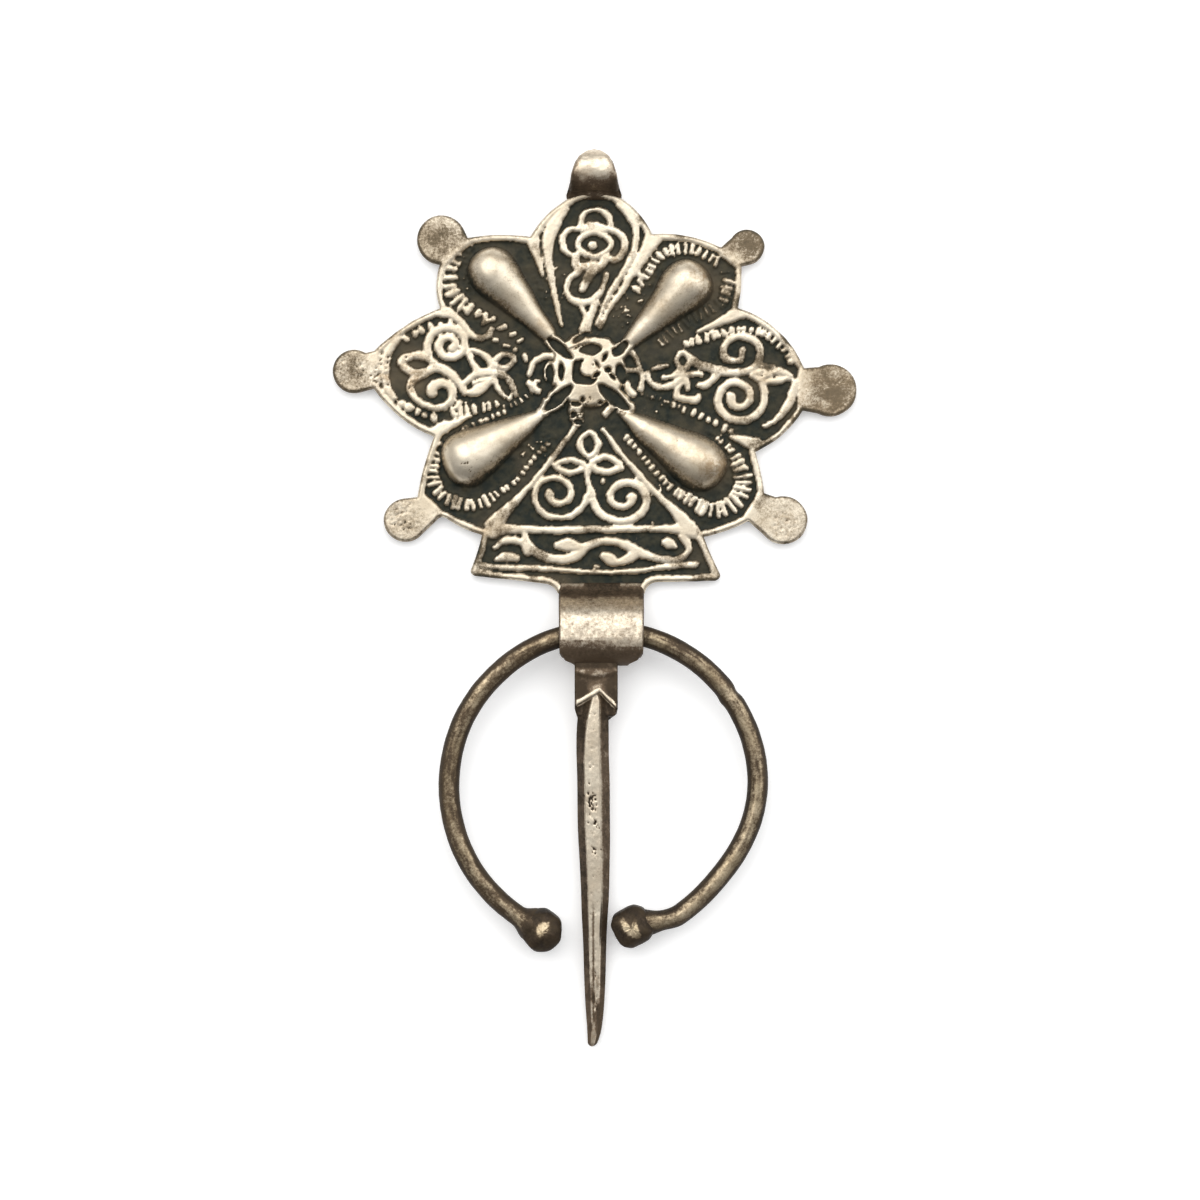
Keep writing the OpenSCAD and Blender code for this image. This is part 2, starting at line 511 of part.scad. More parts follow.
// Points of an arc from a to just before b. It bulges to the right of the way from a to b.
function arc_points(a, b, bulge) =
    bulge == 0 ? [a] :
    let (half = norm(b - a) / 2,
         out = [b[1] - a[1], a[0] - b[0]] / (2 * half),
         sag = bulge * half,
         radius = (half * half + sag * sag) / (2 * sag),
         centre = (a + b) / 2 + out * (sag - radius),
         sweep = 4 * atan(bulge),
         steps = abs(bulge) > 1 ? TAB_STEPS : EDGE_STEPS)
    [for (i = [0 : steps - 1]) centre + turned(a - centre, sweep * i / steps)];

function rows_to_points(rows) =
    [for (i = [0 : len(rows) - 1])
        each arc_points(grid(rows[i]), grid(rows[(i + 1) % len(rows)]), rows[i][2])];

outline_points = rows_to_points(OUTLINE);
lobe_points = rows_to_points([for (row = OUTLINE) if (row[3] == 0) row]);

// The middle of the whole brooch, which lies over the origin
outline_x = [for (p = outline_points) p[0]];
mid_x = (min(outline_x) + max(outline_x)) / 2;
mid_y = (bail_y + bail_r + pin_tip_y) / 2;

// A smooth curve through the rows of a table, any number of columns wide
function between(p, q, r, s, t) =
    0.5 * (2 * q + (r - p) * t + (2 * p - 5 * q + 4 * r - s) * t * t + (3 * q - p - 3 * r + s) * t * t * t);

function smooth(rows, steps) =
    let (last = len(rows) - 1)
    [for (i = [0 : last - 1], k = [0 : steps - 1])
        between(rows[max(i - 1, 0)], rows[i], rows[i + 1], rows[min(i + 2, last)], k / steps),
     rows[last]];

// Unit vector along a curve at its point i
function along(points, i) =
    let (a = points[max(i - 1, 0)],
         b = points[min(i + 1, len(points) - 1)],
         d = [b[0] - a[0], b[1] - a[1]])
    d / norm(d);

// The outline of a line of changing width. Its rows are x, y and width in millimetres.
function ribbon(points) =
    let (last = len(points) - 1,
         left = [for (i = [0 : last]) turned(along(points, i), 90) * points[i][2] / 2])
    concat([for (i = [0 : last]) [points[i][0], points[i][1]] + left[i]],
           [for (i = [last : -1 : 0]) [points[i][0], points[i][1]] - left[i]]);

function stretched(rows, unit) = [for (r = rows) [r[0] * stretch_x, r[1] * stretch_y, r[2] * unit]];

function leaf_points(length, width) =
    [for (i = [0 : LOOP_STEPS - 1])
        let (a = 360 * i / LOOP_STEPS)
        [length * cos(a), width * sin(a) * (1 - LEAF_PINCH * abs(cos(a)))]];

module raised_line(rows) {
    polygon(ribbon(smooth(stretched(rows, line_w), LINE_STEPS)));
}

module spiral(row) {
    steps = round(abs(row[5]) * TURN_STEPS);
    points = [for (i = [0 : steps])
        let (t = i / steps,
             radius = row[3] + (row[2] - row[3]) * pow(1 - t, SPIRAL_EASE),
             a = row[4] + 360 * row[5] * t)
        [radius * cos(a), radius * sin(a) * row[7], row[6] * line_w]];
    translate(grid(row)) scale([stretch_x, stretch_x]) polygon(ribbon(points));
}

module leaf(row, wider = 0) {
    translate(grid(row)) rotate(row[4])
        polygon(leaf_points(row[2] * stretch_x + wider, row[3] * stretch_x + wider));
}

module leaf_loop(row) {
    difference() {
        leaf(row);
        leaf(row, -row[5] * line_w);
    }
}

module ticks(guide) {
    points = smooth(stretched(guide, stretch_x), LINE_STEPS);
    for (i = [0 : len(points) - 1]) {
        way = along(points, i);
        translate([points[i][0], points[i][1]])
            rotate(atan2(way[1], way[0]))
                square([tick_w, points[i][2]], center = true);
    }
}

// Everything that stands up from the fields, seen from the front
module raised_work() {
    for (lines = [UPPER_LINES, LEFT_LINES, RIGHT_LINES, LOWER_LINES, FOOT_LINES, BOSS_LINES])
        for (rows = lines)
            raised_line(rows);
    for (row = SPIRALS)
        spiral(row);
    for (row = LOOPS)
        leaf_loop(row);
    for (row = STUDS)
        translate(grid(row)) circle(r = row[2] * stretch_x, $fn = STUD_FN);
    for (guide = TICK_GUIDES)
        ticks(guide);
}

// The sunk fields: all inside the rim but the raised work
module fields() {
    offset(delta = -FIELD_GAP)
        difference() {
            offset(delta = -rim_w) polygon(lobe_points);
            raised_work();
        }
}

module plate() {
    difference() {
        linear_extrude(plate_t) polygon(outline_points);
        translate([0, 0, field_z]) linear_extrude(plate_t) fields();
    }
}

// A teardrop boss: a turned shape lying in the plate, its underside cut away inside the metal
module teardrop(row) {
    wide_end = grid([row[0], row[1]]);
    tip = grid([row[2], row[3]]);
    length = norm(tip - wide_end);
    radius = drop_r * row[4];
    way = tip - wide_end;
    section = [for (s = concat(DROP_SECTION, [[1, row[5]]])) [s[1] * radius, s[0] * length]];
    intersection() {
        translate([wide_end[0], wide_end[1], plate_t - DROP_SINK * radius])
            rotate([0, 90 - DROP_LEAN, atan2(way[1], way[0])])
                rotate_extrude($fn = SMALL_FN)
                    polygon(concat([[0, 0]], section, [[0, length]]));
        translate([wide_end[0] - plate_w, wide_end[1] - plate_h, bed_z])
            cube([2 * plate_w, 2 * plate_h, 4 * drop_r]);
    }
}

module centre_boss() {
    middle = grid(BOSS_CENTRE);
    difference() {
        union() {
            translate([middle[0], middle[1], bed_z])
                cylinder(r1 = boss_r, r2 = boss_r - BOSS_TAPER, h = boss_top - bed_z, $fn = MIDDLE_FN);
            translate([0, 0, bed_z])
                linear_extrude(boss_top - ARM_STEP - bed_z)
                    for (rows = BOSS_ARMS)
                        raised_line(rows);
        }
        translate([0, 0, boss_top - boss_cut_d])
            linear_extrude(boss_top)
                offset(delta = -CUT_GAP) {
                    for (row = BOSS_CUTS)
                        leaf(row);
                    translate(grid(EYE_CENTRE))
                        difference() {
                            circle(r = EYE_R[1] * stretch_x, $fn = EYE_FN[1]);
                            circle(r = EYE_R[0] * stretch_x, $fn = EYE_FN[0]);
                        }
                }
    }
}

// The bail: a round lug that narrows upwards, on a short root
module bail() {
    half = bail_w / 2;
    tall = bail_y + bail_r - bail_root;
    side = [for (row = BAIL_SHAPE) [row[0] * half, bail_root + row[1] * tall]];
    other_side = [for (i = [len(side) - 1 : -1 : 0]) [-side[i][0], side[i][1]]];
    intersection() {
        linear_extrude(2 * bail_r) polygon(concat(side, other_side));
        union() {
            translate([-bail_w, bail_y, bail_r])
                rotate([0, 90, 0])
                    cylinder(r = bail_r, h = 2 * bail_w, $fn = MIDDLE_FN);
            translate([-bail_w, bail_root, 0])
                cube([2 * bail_w, bail_y - bail_bore_r - bail_root, plate_t]);
        }
    }
}

module bail_bore() {
    translate([-bail_w, bail_y, bail_r])
        rotate([0, 90, 0])
            cylinder(r = bail_bore_r, h = 2 * bail_w, $fn = SMALL_FN);
}

// The sleeve: a tube for the ring, with a ramp that carries the plate's foot up over it
module sleeve() {
    low = sleeve_y - sleeve_r;
    plan = concat([[0, RAMP_TOP - low]], SLEEVE_CORNER);
    left_side = [for (row = plan) [sleeve_x - half_sleeve + row[0], low + row[1]]];
    right_side = [for (i = [len(plan) - 1 : -1 : 0])
        [sleeve_x + half_sleeve - plan[i][0], low + plan[i][1]]];
    ramp_foot = [for (row = RAMP_FOOT) [row[0], plate_t + row[1]]];
    ramp_head = [for (row = RAMP_HEAD) [sleeve_y + row[0] * sleeve_r, row[1] * sleeve_r]];
    intersection() {
        translate([sleeve_x - half_sleeve, 0, 0])
            rotate([90, 0, 90])
                linear_extrude(sleeve_len) {
                    translate([sleeve_y, sleeve_r]) circle(r = sleeve_r, $fn = LARGE_FN);
                    polygon(concat([[ramp_foot[0][0], 0]], ramp_foot, ramp_head, [[sleeve_y, 0]]));
                }
        linear_extrude(3 * sleeve_r) polygon(concat(left_side, right_side));
    }
}

module sleeve_bore() {
    translate([sleeve_x - sleeve_len, sleeve_y, sleeve_r])
        rotate([0, 90, 0])
            cylinder(r = sleeve_bore_r, h = 2 * sleeve_len, $fn = MIDDLE_FN);
}

// The block at the head of the pin: full height above its V-shaped ridge, lower beside the shaft below it
module pin_head() {
    left = sleeve_x - HEAD_LEFT * pin_head_w;
    right = left + pin_head_w;
    top = pin_head_y + HEAD_BITE * sleeve_wall;
    foot = pin_head_y - pin_head_len;
    apex = [left + RIDGE_APEX * pin_head_w, ridge_y];
    left_arm = [left + ARM_INSET, ridge_y - LEFT_ARM_DROP * pin_head_w];
    right_arm = [right - ARM_INSET, ridge_y - RIGHT_ARM_DROP * pin_head_w];
    low_z = pin_z - pin_t / 2;
    foot_points = [for (row = HEAD_FOOT) [left + row[0] * pin_head_w, foot + row[1]]];
    ridge = [
        [left_arm[0], left_arm[1] + RIDGE_BACK, RIDGE_W[0]],
        [apex[0], apex[1] + RIDGE_BACK, RIDGE_W[1]],
        [right_arm[0], right_arm[1] + RIDGE_BACK, RIDGE_W[0]]
    ];
    translate([0, 0, low_z])
        linear_extrude(HEAD_LOW * pin_t)
            polygon(concat([[left, top]], foot_points, [[right, top]]));
    translate([0, 0, low_z])
        linear_extrude(pin_t)
            polygon([
                [left, top],
                [left, left_arm[1]],
                left_arm,
                apex,
                right_arm,
                [right, right_arm[1]],
                [right, top]
            ]);
    translate([0, 0, pin_z])
        linear_extrude(pin_t / 2 + ridge_h) polygon(ribbon(ridge));
}

// The shaft: octagons of changing size, joined from the head to the tip
module shaft() {
    sides = len(SHAFT_SECTION);
    rings = len(SHAFT);
    points = [for (row = SHAFT, corner = SHAFT_SECTION)
        let (size = row[1], down = row[0])
        [row[2] * pin_w + corner[0] * size * pin_w / 2,
         ridge_y - down * shaft_len,
         pin_z + (pin_tip_z - pin_z) * down + corner[1] * size * pin_t / 2]];
    walls = [for (k = [0 : rings - 2], i = [0 : sides - 1])
        let (j = (i + 1) % sides)
        [k * sides + i, (k + 1) * sides + i, (k + 1) * sides + j, k * sides + j]];
    head_cap = [[for (i = [0 : sides - 1]) i]];
    tip_cap = [[for (i = [sides - 1 : -1 : 0]) (rings - 1) * sides + i]];
    polyhedron(points = points, faces = concat(walls, head_cap, tip_cap));
}

module plate_and_pin() {
    color(SILVER)
        translate([-mid_x, -mid_y, 0])
            difference() {
                union() {
                    plate();
                    centre_boss();
                    for (row = DROPS)
                        teardrop(row);
                    bail();
                    sleeve();
                    pin_head();
                    shaft();
                }
                bail_bore();
                sleeve_bore();
            }
}

// A faceted knob: a cube with all its edges cut off
module cut_knob(w) {
    intersection() {
        cube(w, center = true);
        rotate([45, 0, 0]) cube(EDGE_CUT * w, center = true);
        rotate([0, 45, 0]) cube(EDGE_CUT * w, center = true);
        rotate([0, 0, 45]) cube(EDGE_CUT * w, center = true);
    }
}

module ring() {
    color(DARK_SILVER)
        translate([-mid_x + ring_x, -mid_y + sleeve_y, sleeve_r])
            rotate([ring_tilt, 0, 0])
                translate([0, ring_rise - ring_r, 0]) {
                    rotate([0, 0, cut_knob_angle - 90])
                        rotate_extrude(angle = 360 - cut_knob_angle - KNOB_ANGLE, $fn = LARGE_FN)
                            translate([ring_r, 0]) circle(r = wire_r, $fn = WIRE_FN);
                    rotate([0, 0, -90 - KNOB_ANGLE])
                        translate([knob_at, 0, 0]) sphere(r = knob_r, $fn = SMALL_FN);
                    translate([cut_knob_x - ring_x, -cut_knob_at * cos(cut_knob_angle), 0])
                        rotate([0, 0, CUT_KNOB_TURN])
                            cut_knob(cut_knob_w);
                }
}

plate_and_pin();
ring();
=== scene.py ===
import math

import bpy
import numpy as np
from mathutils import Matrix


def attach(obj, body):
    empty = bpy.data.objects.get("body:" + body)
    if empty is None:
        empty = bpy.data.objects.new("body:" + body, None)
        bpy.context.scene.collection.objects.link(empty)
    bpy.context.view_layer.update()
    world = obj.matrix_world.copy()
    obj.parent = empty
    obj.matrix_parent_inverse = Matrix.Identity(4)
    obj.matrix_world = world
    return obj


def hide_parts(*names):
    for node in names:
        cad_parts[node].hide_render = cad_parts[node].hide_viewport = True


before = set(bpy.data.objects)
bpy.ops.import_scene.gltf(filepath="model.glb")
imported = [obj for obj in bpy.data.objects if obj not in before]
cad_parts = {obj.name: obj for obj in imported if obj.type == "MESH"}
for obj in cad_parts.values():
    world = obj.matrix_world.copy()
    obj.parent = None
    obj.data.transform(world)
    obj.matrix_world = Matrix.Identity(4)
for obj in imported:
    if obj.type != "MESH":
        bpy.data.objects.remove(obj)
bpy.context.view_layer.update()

# Sizes as in the part's source, in millimetres. The drawing's zero is on the plate's foot.
MID = (0.1086, -1.975)          # the drawing's point over the origin
PLATE_T = 1.9
FIELD_D = 0.6
FIELD_Z = PLATE_T - FIELD_D
RIM_W = 0.9
LINE_W = 0.85
DROP_R = 4.0
DROP_SINK = 0.3
DROP_LEAN = 2
BOSS_R = 5.9
BOSS_TOP = PLATE_T + 0.8
BOSS_CUT_D = 0.75
SLEEVE = (1.1, -7.95, 4.2)      # middle of the sleeve's hole
SLEEVE_R = 4.2
SLEEVE_BORE_R = 2.9
SLEEVE_LEN = 12.8
BAIL = (0.0, 61.8, 3.2)         # middle of the bail's hole
BAIL_R = 3.2
BAIL_BORE_R = 1.5
BAIL_W = 7.4
BAIL_ROOT = 57.6
PIN_W = 4.9
PIN_T = 4.0
PIN_TIP_Y = -68.95
RIDGE_Y = -15.75
RING_R = 23.05
WIRE_R = 1.6
KNOB_R = 3.15
CUT_KNOB_W = 5.8
STEP = 0.19                     # spacing of the relief's grid

# The plate's outline, anticlockwise from the bail's left root.
# A bulge is the arc's height over half its chord, outwards.
# Columns: x, y, bulge, part (0 a lobe's edge, 1 a tab)
OUTLINE = [
    [-3.9, 57.8, 0.14, 0],
    [-9.6, 52.1, 0.10, 0],
    [-18.9, 51.9, 0, 0],
    [-19.4, 53.0, 1.5, 1],
    [-24.3, 48.2, 0, 1],
    [-23.1, 47.9, 0.18, 0],
    [-23.1, 41.4, 0.11, 0],
    [-32.9, 35.0, 0, 0],
    [-34.2, 34.7, 1.5, 1],
    [-35.1, 28.7, 0, 1],
    [-33.0, 29.3, 0.15, 0],
    [-24.0, 22.1, 0.06, 0],
    [-26.4, 13.1, 0, 0],
    [-28.4, 12.9, 1.38, 1],
    [-26.1, 7.1, 0, 1],
    [-23.0, 10.1, 0, 0],
    [-22.2, 9.9, 0.08, 0],
    [-16.8, 7.4, -0.05, 0],
    [-18.5, 2.1, 0.4, 0],
    [-17.6, 1.2, 0, 0],
    [-7.4, 0.1, -0.3, 0],
    [-5.4, -1.4, 0, 0],
    [7.6, -1.4, -0.4, 0],
    [9.6, 0.3, 0, 0],
    [17.9, 0.5, 0.4, 0],
    [18.9, 1.4, 0, 0],
    [16.4, 7.1, 0.09, 0],
    [23.1, 9.5, 0, 0],
    [25.6, 7.2, 1.85, 1],
    [27.2, 13.1, 0, 1],
    [25.5, 13.7, 0.05, 0],
    [24.2, 19.8, 0.15, 0],
    [31.3, 26.0, 0, 0],
    [33.6, 25.6, 1.65, 1],
    [33.6, 32.6, 0, 1],
    [31.5, 32.4, 0.23, 0],
    [21.6, 41.4, 0.08, 0],
    [22.1, 47.7, 0, 0],
    [23.6, 48.0, 1.5, 1],
    [20.6, 51.9, 0, 1],
    [19.0, 50.5, 0.15, 0],
    [8.7, 52.5, 0.16, 0],
    [3.9, 58.0, 0.28, 0]
]

# The pear-shaped band of the upper lobe, its inner scrolls, and the webs that part it from its neighbours
UPPER_LINES = [
    [[-4.4, 56.3, 1.4], [-5.8, 54.4, 2.0], [-6.8, 51.8, 1.8], [-6.9, 49.0, 1.45], [-6.5, 46.4, 1.2],
     [-5.75, 42.6, 0.8], [-4.8, 38.9, 0.5]],
    [[4.1, 57.0, 1.5], [5.4, 55.3, 1.5], [6.2, 53.2, 1.15], [6.2, 51.3, 1.0], [5.6, 48.9, 1.0],
     [4.1, 46.2, 1.0], [2.4, 43.6, 0.85], [0.5, 39.0, 0.5]],
    [[-9.6, 52.4, 2.8], [-8.8, 50.2, 1.7], [-8.3, 48.4, 1.1], [-7.7, 46.3, 0.4]],
    [[8.9, 51.9, 3.0], [7.8, 50.0, 2.1], [6.4, 47.6, 1.4], [4.5, 44.5, 1.0], [2.5, 41.6, 0.8],
     [1.0, 38.4, 0.5]],
    [[-2.1, 53.2, 0.8], [-3.6, 53.2, 0.8], [-4.6, 52.3, 0.9], [-4.75, 51.0, 1.0], [-4.2, 49.9, 1.0],
     [-3.3, 49.3, 0.8]],
    [[-2.1, 53.3, 0.9], [-1.8, 54.7, 0.9], [-1.2, 55.8, 0.8], [0.1, 56.2, 0.7], [1.3, 56.0, 0.9],
     [2.2, 55.1, 1.1], [2.5, 53.9, 0.9]],
    [[1.8, 53.2, 1.0], [3.2, 52.9, 1.1], [4.3, 51.9, 1.2], [4.6, 50.7, 1.1], [4.2, 49.4, 1.1], [3.2, 48.6, 0.9],
     [2.2, 48.9, 1.0]],
    [[-1.7, 53.2, 1.2], [0, 53.5, 1.9], [1.7, 53.2, 1.3]],
    [[-2.7, 49.2, 1.4], [-2.7, 47.9, 1.2], [-2.4, 46.8, 1.2], [-3.4, 45.9, 1.0], [-4.1, 44.6, 0.9],
     [-3.9, 43.3, 1.0], [-2.9, 42.5, 1.2], [-1.4, 42.3, 1.2], [0.0, 42.7, 1.3], [1.0, 43.9, 1.0],
     [1.5, 45.2, 0.8], [1.8, 46.4, 0.9]],
    [[1.8, 49.0, 1.4], [1.2, 47.9, 1.4], [-0.3, 46.8, 1.6], [-1.2, 45.4, 1.4], [-1.7, 44.3, 1.1]],
    [[-1.8, 47.6, 1.5], [0.2, 47.7, 1.6]],
    [[-2.0, 42.2, 0.8], [-1.8, 41.2, 0.75], [-1.3, 40.2, 0.9], [-1.2, 39.2, 1.4], [-1.3, 38.3, 2.0]],
    [[0.3, 42.3, 1.2], [-0.2, 41.0, 1.15], [-0.8, 39.6, 1.1], [-1.0, 38.6, 1.3]]
]

# The left lobe: its webs, stem, lower scroll, beaded edge and flower
LEFT_LINES = [
    [[-23.6, 41.0, 2.2], [-21.4, 40.5, 1.6], [-19.9, 39.2, 1.2], [-18.6, 37.6, 1.1], [-17.6, 37.0, 1.0],
     [-15.9, 37.2, 1.0], [-15.3, 38.3, 0.8]],
    [[-24.0, 22.3, 2.4], [-22.7, 23.4, 2.0], [-20.8, 24.2, 1.2], [-18.6, 25.2, 0.6]],
    [[-25.3, 31.9, 1.1], [-23.6, 32.5, 1.6], [-22.0, 31.9, 1.6], [-20.8, 30.8, 1.5], [-19.8, 29.6, 1.4],
     [-19.3, 28.7, 1.0]],
    [[-25.3, 31.4, 0.9], [-26.8, 30.8, 1.3], [-27.4, 29.6, 1.3], [-27.0, 28.2, 1.0], [-25.9, 27.2, 1.0],
     [-24.5, 26.6, 1.1], [-23.0, 26.5, 1.1], [-21.7, 27.2, 1.2], [-21.2, 28.6, 1.3], [-21.8, 29.8, 1.3],
     [-23.0, 30.2, 1.5], [-24.1, 29.6, 1.7], [-24.2, 28.6, 1.6]],
    [[-19.6, 30.0, 1.0], [-18.5, 31.0, 1.1], [-17.3, 31.6, 1.4], [-15.9, 31.7, 1.5], [-14.3, 31.6, 1.2],
     [-13.1, 31.1, 1.0], [-12.3, 30.0, 0.9], [-11.6, 28.4, 0.6]],
    [[-18.9, 35.1, 0.8], [-18.5, 33.7, 0.9], [-17.5, 32.2, 1.2]],
    [[-18.3, 35.2, 0.7], [-16.9, 34.6, 1.1], [-15.8, 33.8, 1.1], [-15.3, 32.5, 0.9]],
    [[-15.2, 31.4, 1.0], [-14.8, 30.2, 0.9], [-14.2, 29.1, 1.0], [-13.4, 28.3, 0.7]],
    [[-18.7, 28.6, 0.9], [-17.4, 29.1, 1.6], [-16.2, 29.9, 1.4], [-15.4, 30.8, 0.8]],
    [[-18.1, 30.1, 0.5], [-16.9, 30.5, 0.6], [-15.8, 30.6, 0.7]],
    [[-29.3, 36.8, 1.2], [-30.7, 35.0, 1.5], [-31.3, 33.0, 1.6], [-31.3, 31.0, 1.6], [-30.8, 29.2, 1.4],
     [-29.9, 27.9, 1.0]]
]

# The right lobe: its webs, edge line, stem, upper scroll, buds and cross-shaped flower
RIGHT_LINES = [
    [[22.2, 41.0, 2.6], [20.2, 40.0, 1.9], [18.3, 39.1, 1.2], [16.8, 38.4, 0.85], [15.6, 37.8, 0.5]],
    [[24.0, 20.9, 2.5], [22.6, 21.5, 1.8], [20.5, 22.0, 0.6]],
    [[30.1, 30.2, 1.3], [29.7, 28.4, 1.5], [29.0, 26.9, 1.4], [28.0, 25.5, 1.1], [26.8, 24.4, 0.8],
     [25.4, 23.7, 0.5]],
    [[14.2, 34.2, 1.0], [15.4, 33.1, 1.3], [17.2, 32.5, 1.4], [19.0, 32.0, 1.5], [21.0, 31.8, 1.3],
     [22.8, 32.0, 1.3], [24.1, 32.7, 1.2], [24.8, 33.9, 1.2], [24.8, 35.2, 1.25], [24.0, 36.5, 1.2],
     [22.6, 37.1, 1.1], [21.0, 37.0, 1.1], [19.8, 36.2, 1.1], [19.4, 34.9, 1.15], [19.8, 33.8, 1.3],
     [21.0, 33.5, 0.9], [22.1, 33.8, 1.0], [22.2, 35.0, 1.15]],
    [[23.8, 31.4, 1.4], [25.2, 31.5, 1.8], [26.2, 31.5, 1.4]],
    [[25.2, 32.7, 1.0], [26.8, 32.6, 0.9]],
    [[26.9, 31.7, 1.0], [28.0, 31.8, 1.5], [29.3, 31.2, 0.9]],
    [[26.0, 30.3, 1.0], [27.4, 30.45, 1.2], [29.2, 30.9, 0.8]],
    [[8.0, 31.6, 0.9], [8.5, 30.3, 1.0], [9.9, 29.5, 1.1], [11.4, 29.7, 1.1], [12.9, 30.6, 1.3]],
    [[8.8, 32.3, 0.5], [10.0, 32.6, 0.7], [11.0, 32.8, 0.6]],
    [[10.5, 31.0, 0.8], [11.6, 31.1, 0.8], [13.0, 31.5, 1.7], [13.7, 30.3, 1.1], [14.0, 29.3, 0.8]],
    [[13.1, 30.0, 0.7], [12.4, 29.1, 0.8], [12.5, 28.1, 1.1], [13.8, 27.8, 1.1], [15.2, 27.6, 1.4],
     [15.7, 28.3, 0.7]],
    [[13.9, 31.3, 0.8], [15.0, 31.5, 1.0], [15.9, 31.4, 0.8]],
    [[15.8, 29.8, 0.9], [16.6, 29.8, 1.15], [17.5, 30.5, 1.0], [18.4, 31.5, 1.2]]
]

# The lower triangle: its sides, foot line and stem
LOWER_LINES = [
    [[-2.8, 23.7, 0.7], [-4.8, 20.9, 0.7], [-6.8, 18.2, 0.8], [-8.9, 15.6, 0.95], [-11.2, 13.0, 1.1],
     [-13.0, 11.2, 1.8], [-15.0, 8.8, 3.0]],
    [[1.4, 23.2, 0.6], [3.5, 20.3, 0.8], [5.5, 17.8, 0.9], [7.7, 15.4, 1.1], [9.9, 13.1, 1.1],
     [11.9, 11.2, 1.5], [14.0, 8.8, 2.6]],
    [[-15.2, 7.9, 2.4], [-12.6, 8.3, 1.5], [-7.0, 8.15, 1.15], [0, 8.25, 1.1], [7.0, 8.3, 1.1], [11.5, 8.3, 1.3],
     [14.8, 8.0, 2.4]],
    [[-0.9, 17.4, 1.4], [-0.95, 16.0, 0.7], [-0.7, 14.6, 0.9], [-0.5, 13.4, 1.5]],
    [[3.0, 16.9, 0.9], [4.1, 17.4, 0.8]]
]

# The foot's band: a wave, its curls and leaves, and the line under them
FOOT_LINES = [
    [[-10.4, 7.8, 1.0], [-9.9, 6.2, 1.3], [-8.6, 4.7, 1.7], [-6.4, 3.9, 1.6], [-3.8, 3.9, 1.5], [-2.4, 4.5, 1.7],
     [-0.8, 5.8, 1.4], [0.8, 6.4, 1.2], [2.8, 6.5, 1.15], [4.8, 5.9, 1.35], [6.6, 4.9, 1.5], [8.6, 4.2, 1.3],
     [10.6, 3.7, 1.15], [12.3, 3.7, 1.1], [13.6, 4.4, 1.1], [14.2, 5.5, 1.1], [13.2, 7.2, 1.2]],
    [[-5.5, 5.9, 1.2], [-4.2, 5.95, 2.2], [-2.8, 5.7, 1.8], [-1.4, 5.4, 1.4]],
    [[1.5, 4.3, 1.2], [2.4, 3.8, 1.9], [3.4, 3.4, 1.2], [4.6, 3.6, 1.3], [5.8, 4.3, 1.9]],
    [[-14.9, 5.6, 0.6], [-13.6, 6.4, 1.0], [-11.9, 6.6, 1.2], [-10.6, 6.1, 1.3], [-10.0, 4.9, 1.4]],
    [[-14.6, 3.8, 0.7], [-13.2, 4.1, 1.6], [-11.6, 3.9, 1.3]],
    [[10.5, 6.4, 0.9], [11.2, 6.2, 1.7], [12.0, 5.7, 0.9]],
    [[-16.4, 2.7, 1.1], [-13.4, 2.5, 0.85], [-8.1, 2.4, 0.8], [-1.6, 1.95, 0.65], [1.8, 1.8, 0.6], [5.4, 1.95, 0.7],
     [10.3, 2.6, 0.8], [15.2, 3.0, 1.0]]
]

# Arcs of raised metal beside the centre boss
BOSS_LINES = [
    [[-6.2, 34.2, 1.2], [-7.6, 34.05, 1.1], [-8.7, 33.4, 1], [-9.4, 32.3, 0.9], [-9.7, 31.3, 0.7]],
    [[5.5, 34.9, 0.8], [6.3, 33.8, 0.75], [6.85, 32.5, 0.75], [7.2, 31.3, 0.75], [7.05, 30, 0.7],
     [6.9, 29.3, 0.9]],
    [[5.2, 32.1, 0.7], [6.8, 32, 0.7]],
    [[-9.6, 30.1, 1], [-9, 29.4, 1.2], [-8.4, 29, 1]],
    [[4.9, 30.2, 0.7], [5.1, 29.2, 0.9], [5.9, 28.4, 0.9]],
    [[2.6, 26.5, 1.2], [1.7, 25.6, 1.1]]
]

# Spirals. Columns: x, y, outer radius, inner radius, start angle, turns (below 0 clockwise), width, squash
SPIRALS = [
    [-21.7, 35.9, 3.4, 0.8, 205, -1.69, 1.3, 0.92],
    [21.45, 27.95, 4.4, 1.0, 50, -1.66, 1.3, 0.98],
    [-5.6, 13.55, 4.6, 1.15, -5, -1.5, 1.0, 0.9],
    [4.5, 12.95, 4.75, 1.0, 185, 1.5, 1.3, 0.85]
]

# Leaf-shaped loops of raised line. Columns: x, y, half length, half width, angle, line width
LOOPS = [
    [-26.4, 33.0, 3.1, 1.95, -5, 1.35],
    [-13.4, 33.4, 1.9, 1.45, 15, 0.95],
    [-0.75, 21.0, 2.2, 1.85, 90, 0.9],
    [-3.6, 17.7, 2.5, 1.35, -3, 0.9],
    [1.8, 17.9, 2.6, 1.6, -4, 1.05],
    [0, 50.95, 2.9, 2.35, 0, 1.0],
    [13.35, 33.5, 1.6, 1.35, 90, 0.8]
]

# Round studs. Columns: x, y, radius
STUDS = [
    [-0.2, 50.8, 0.65]
]

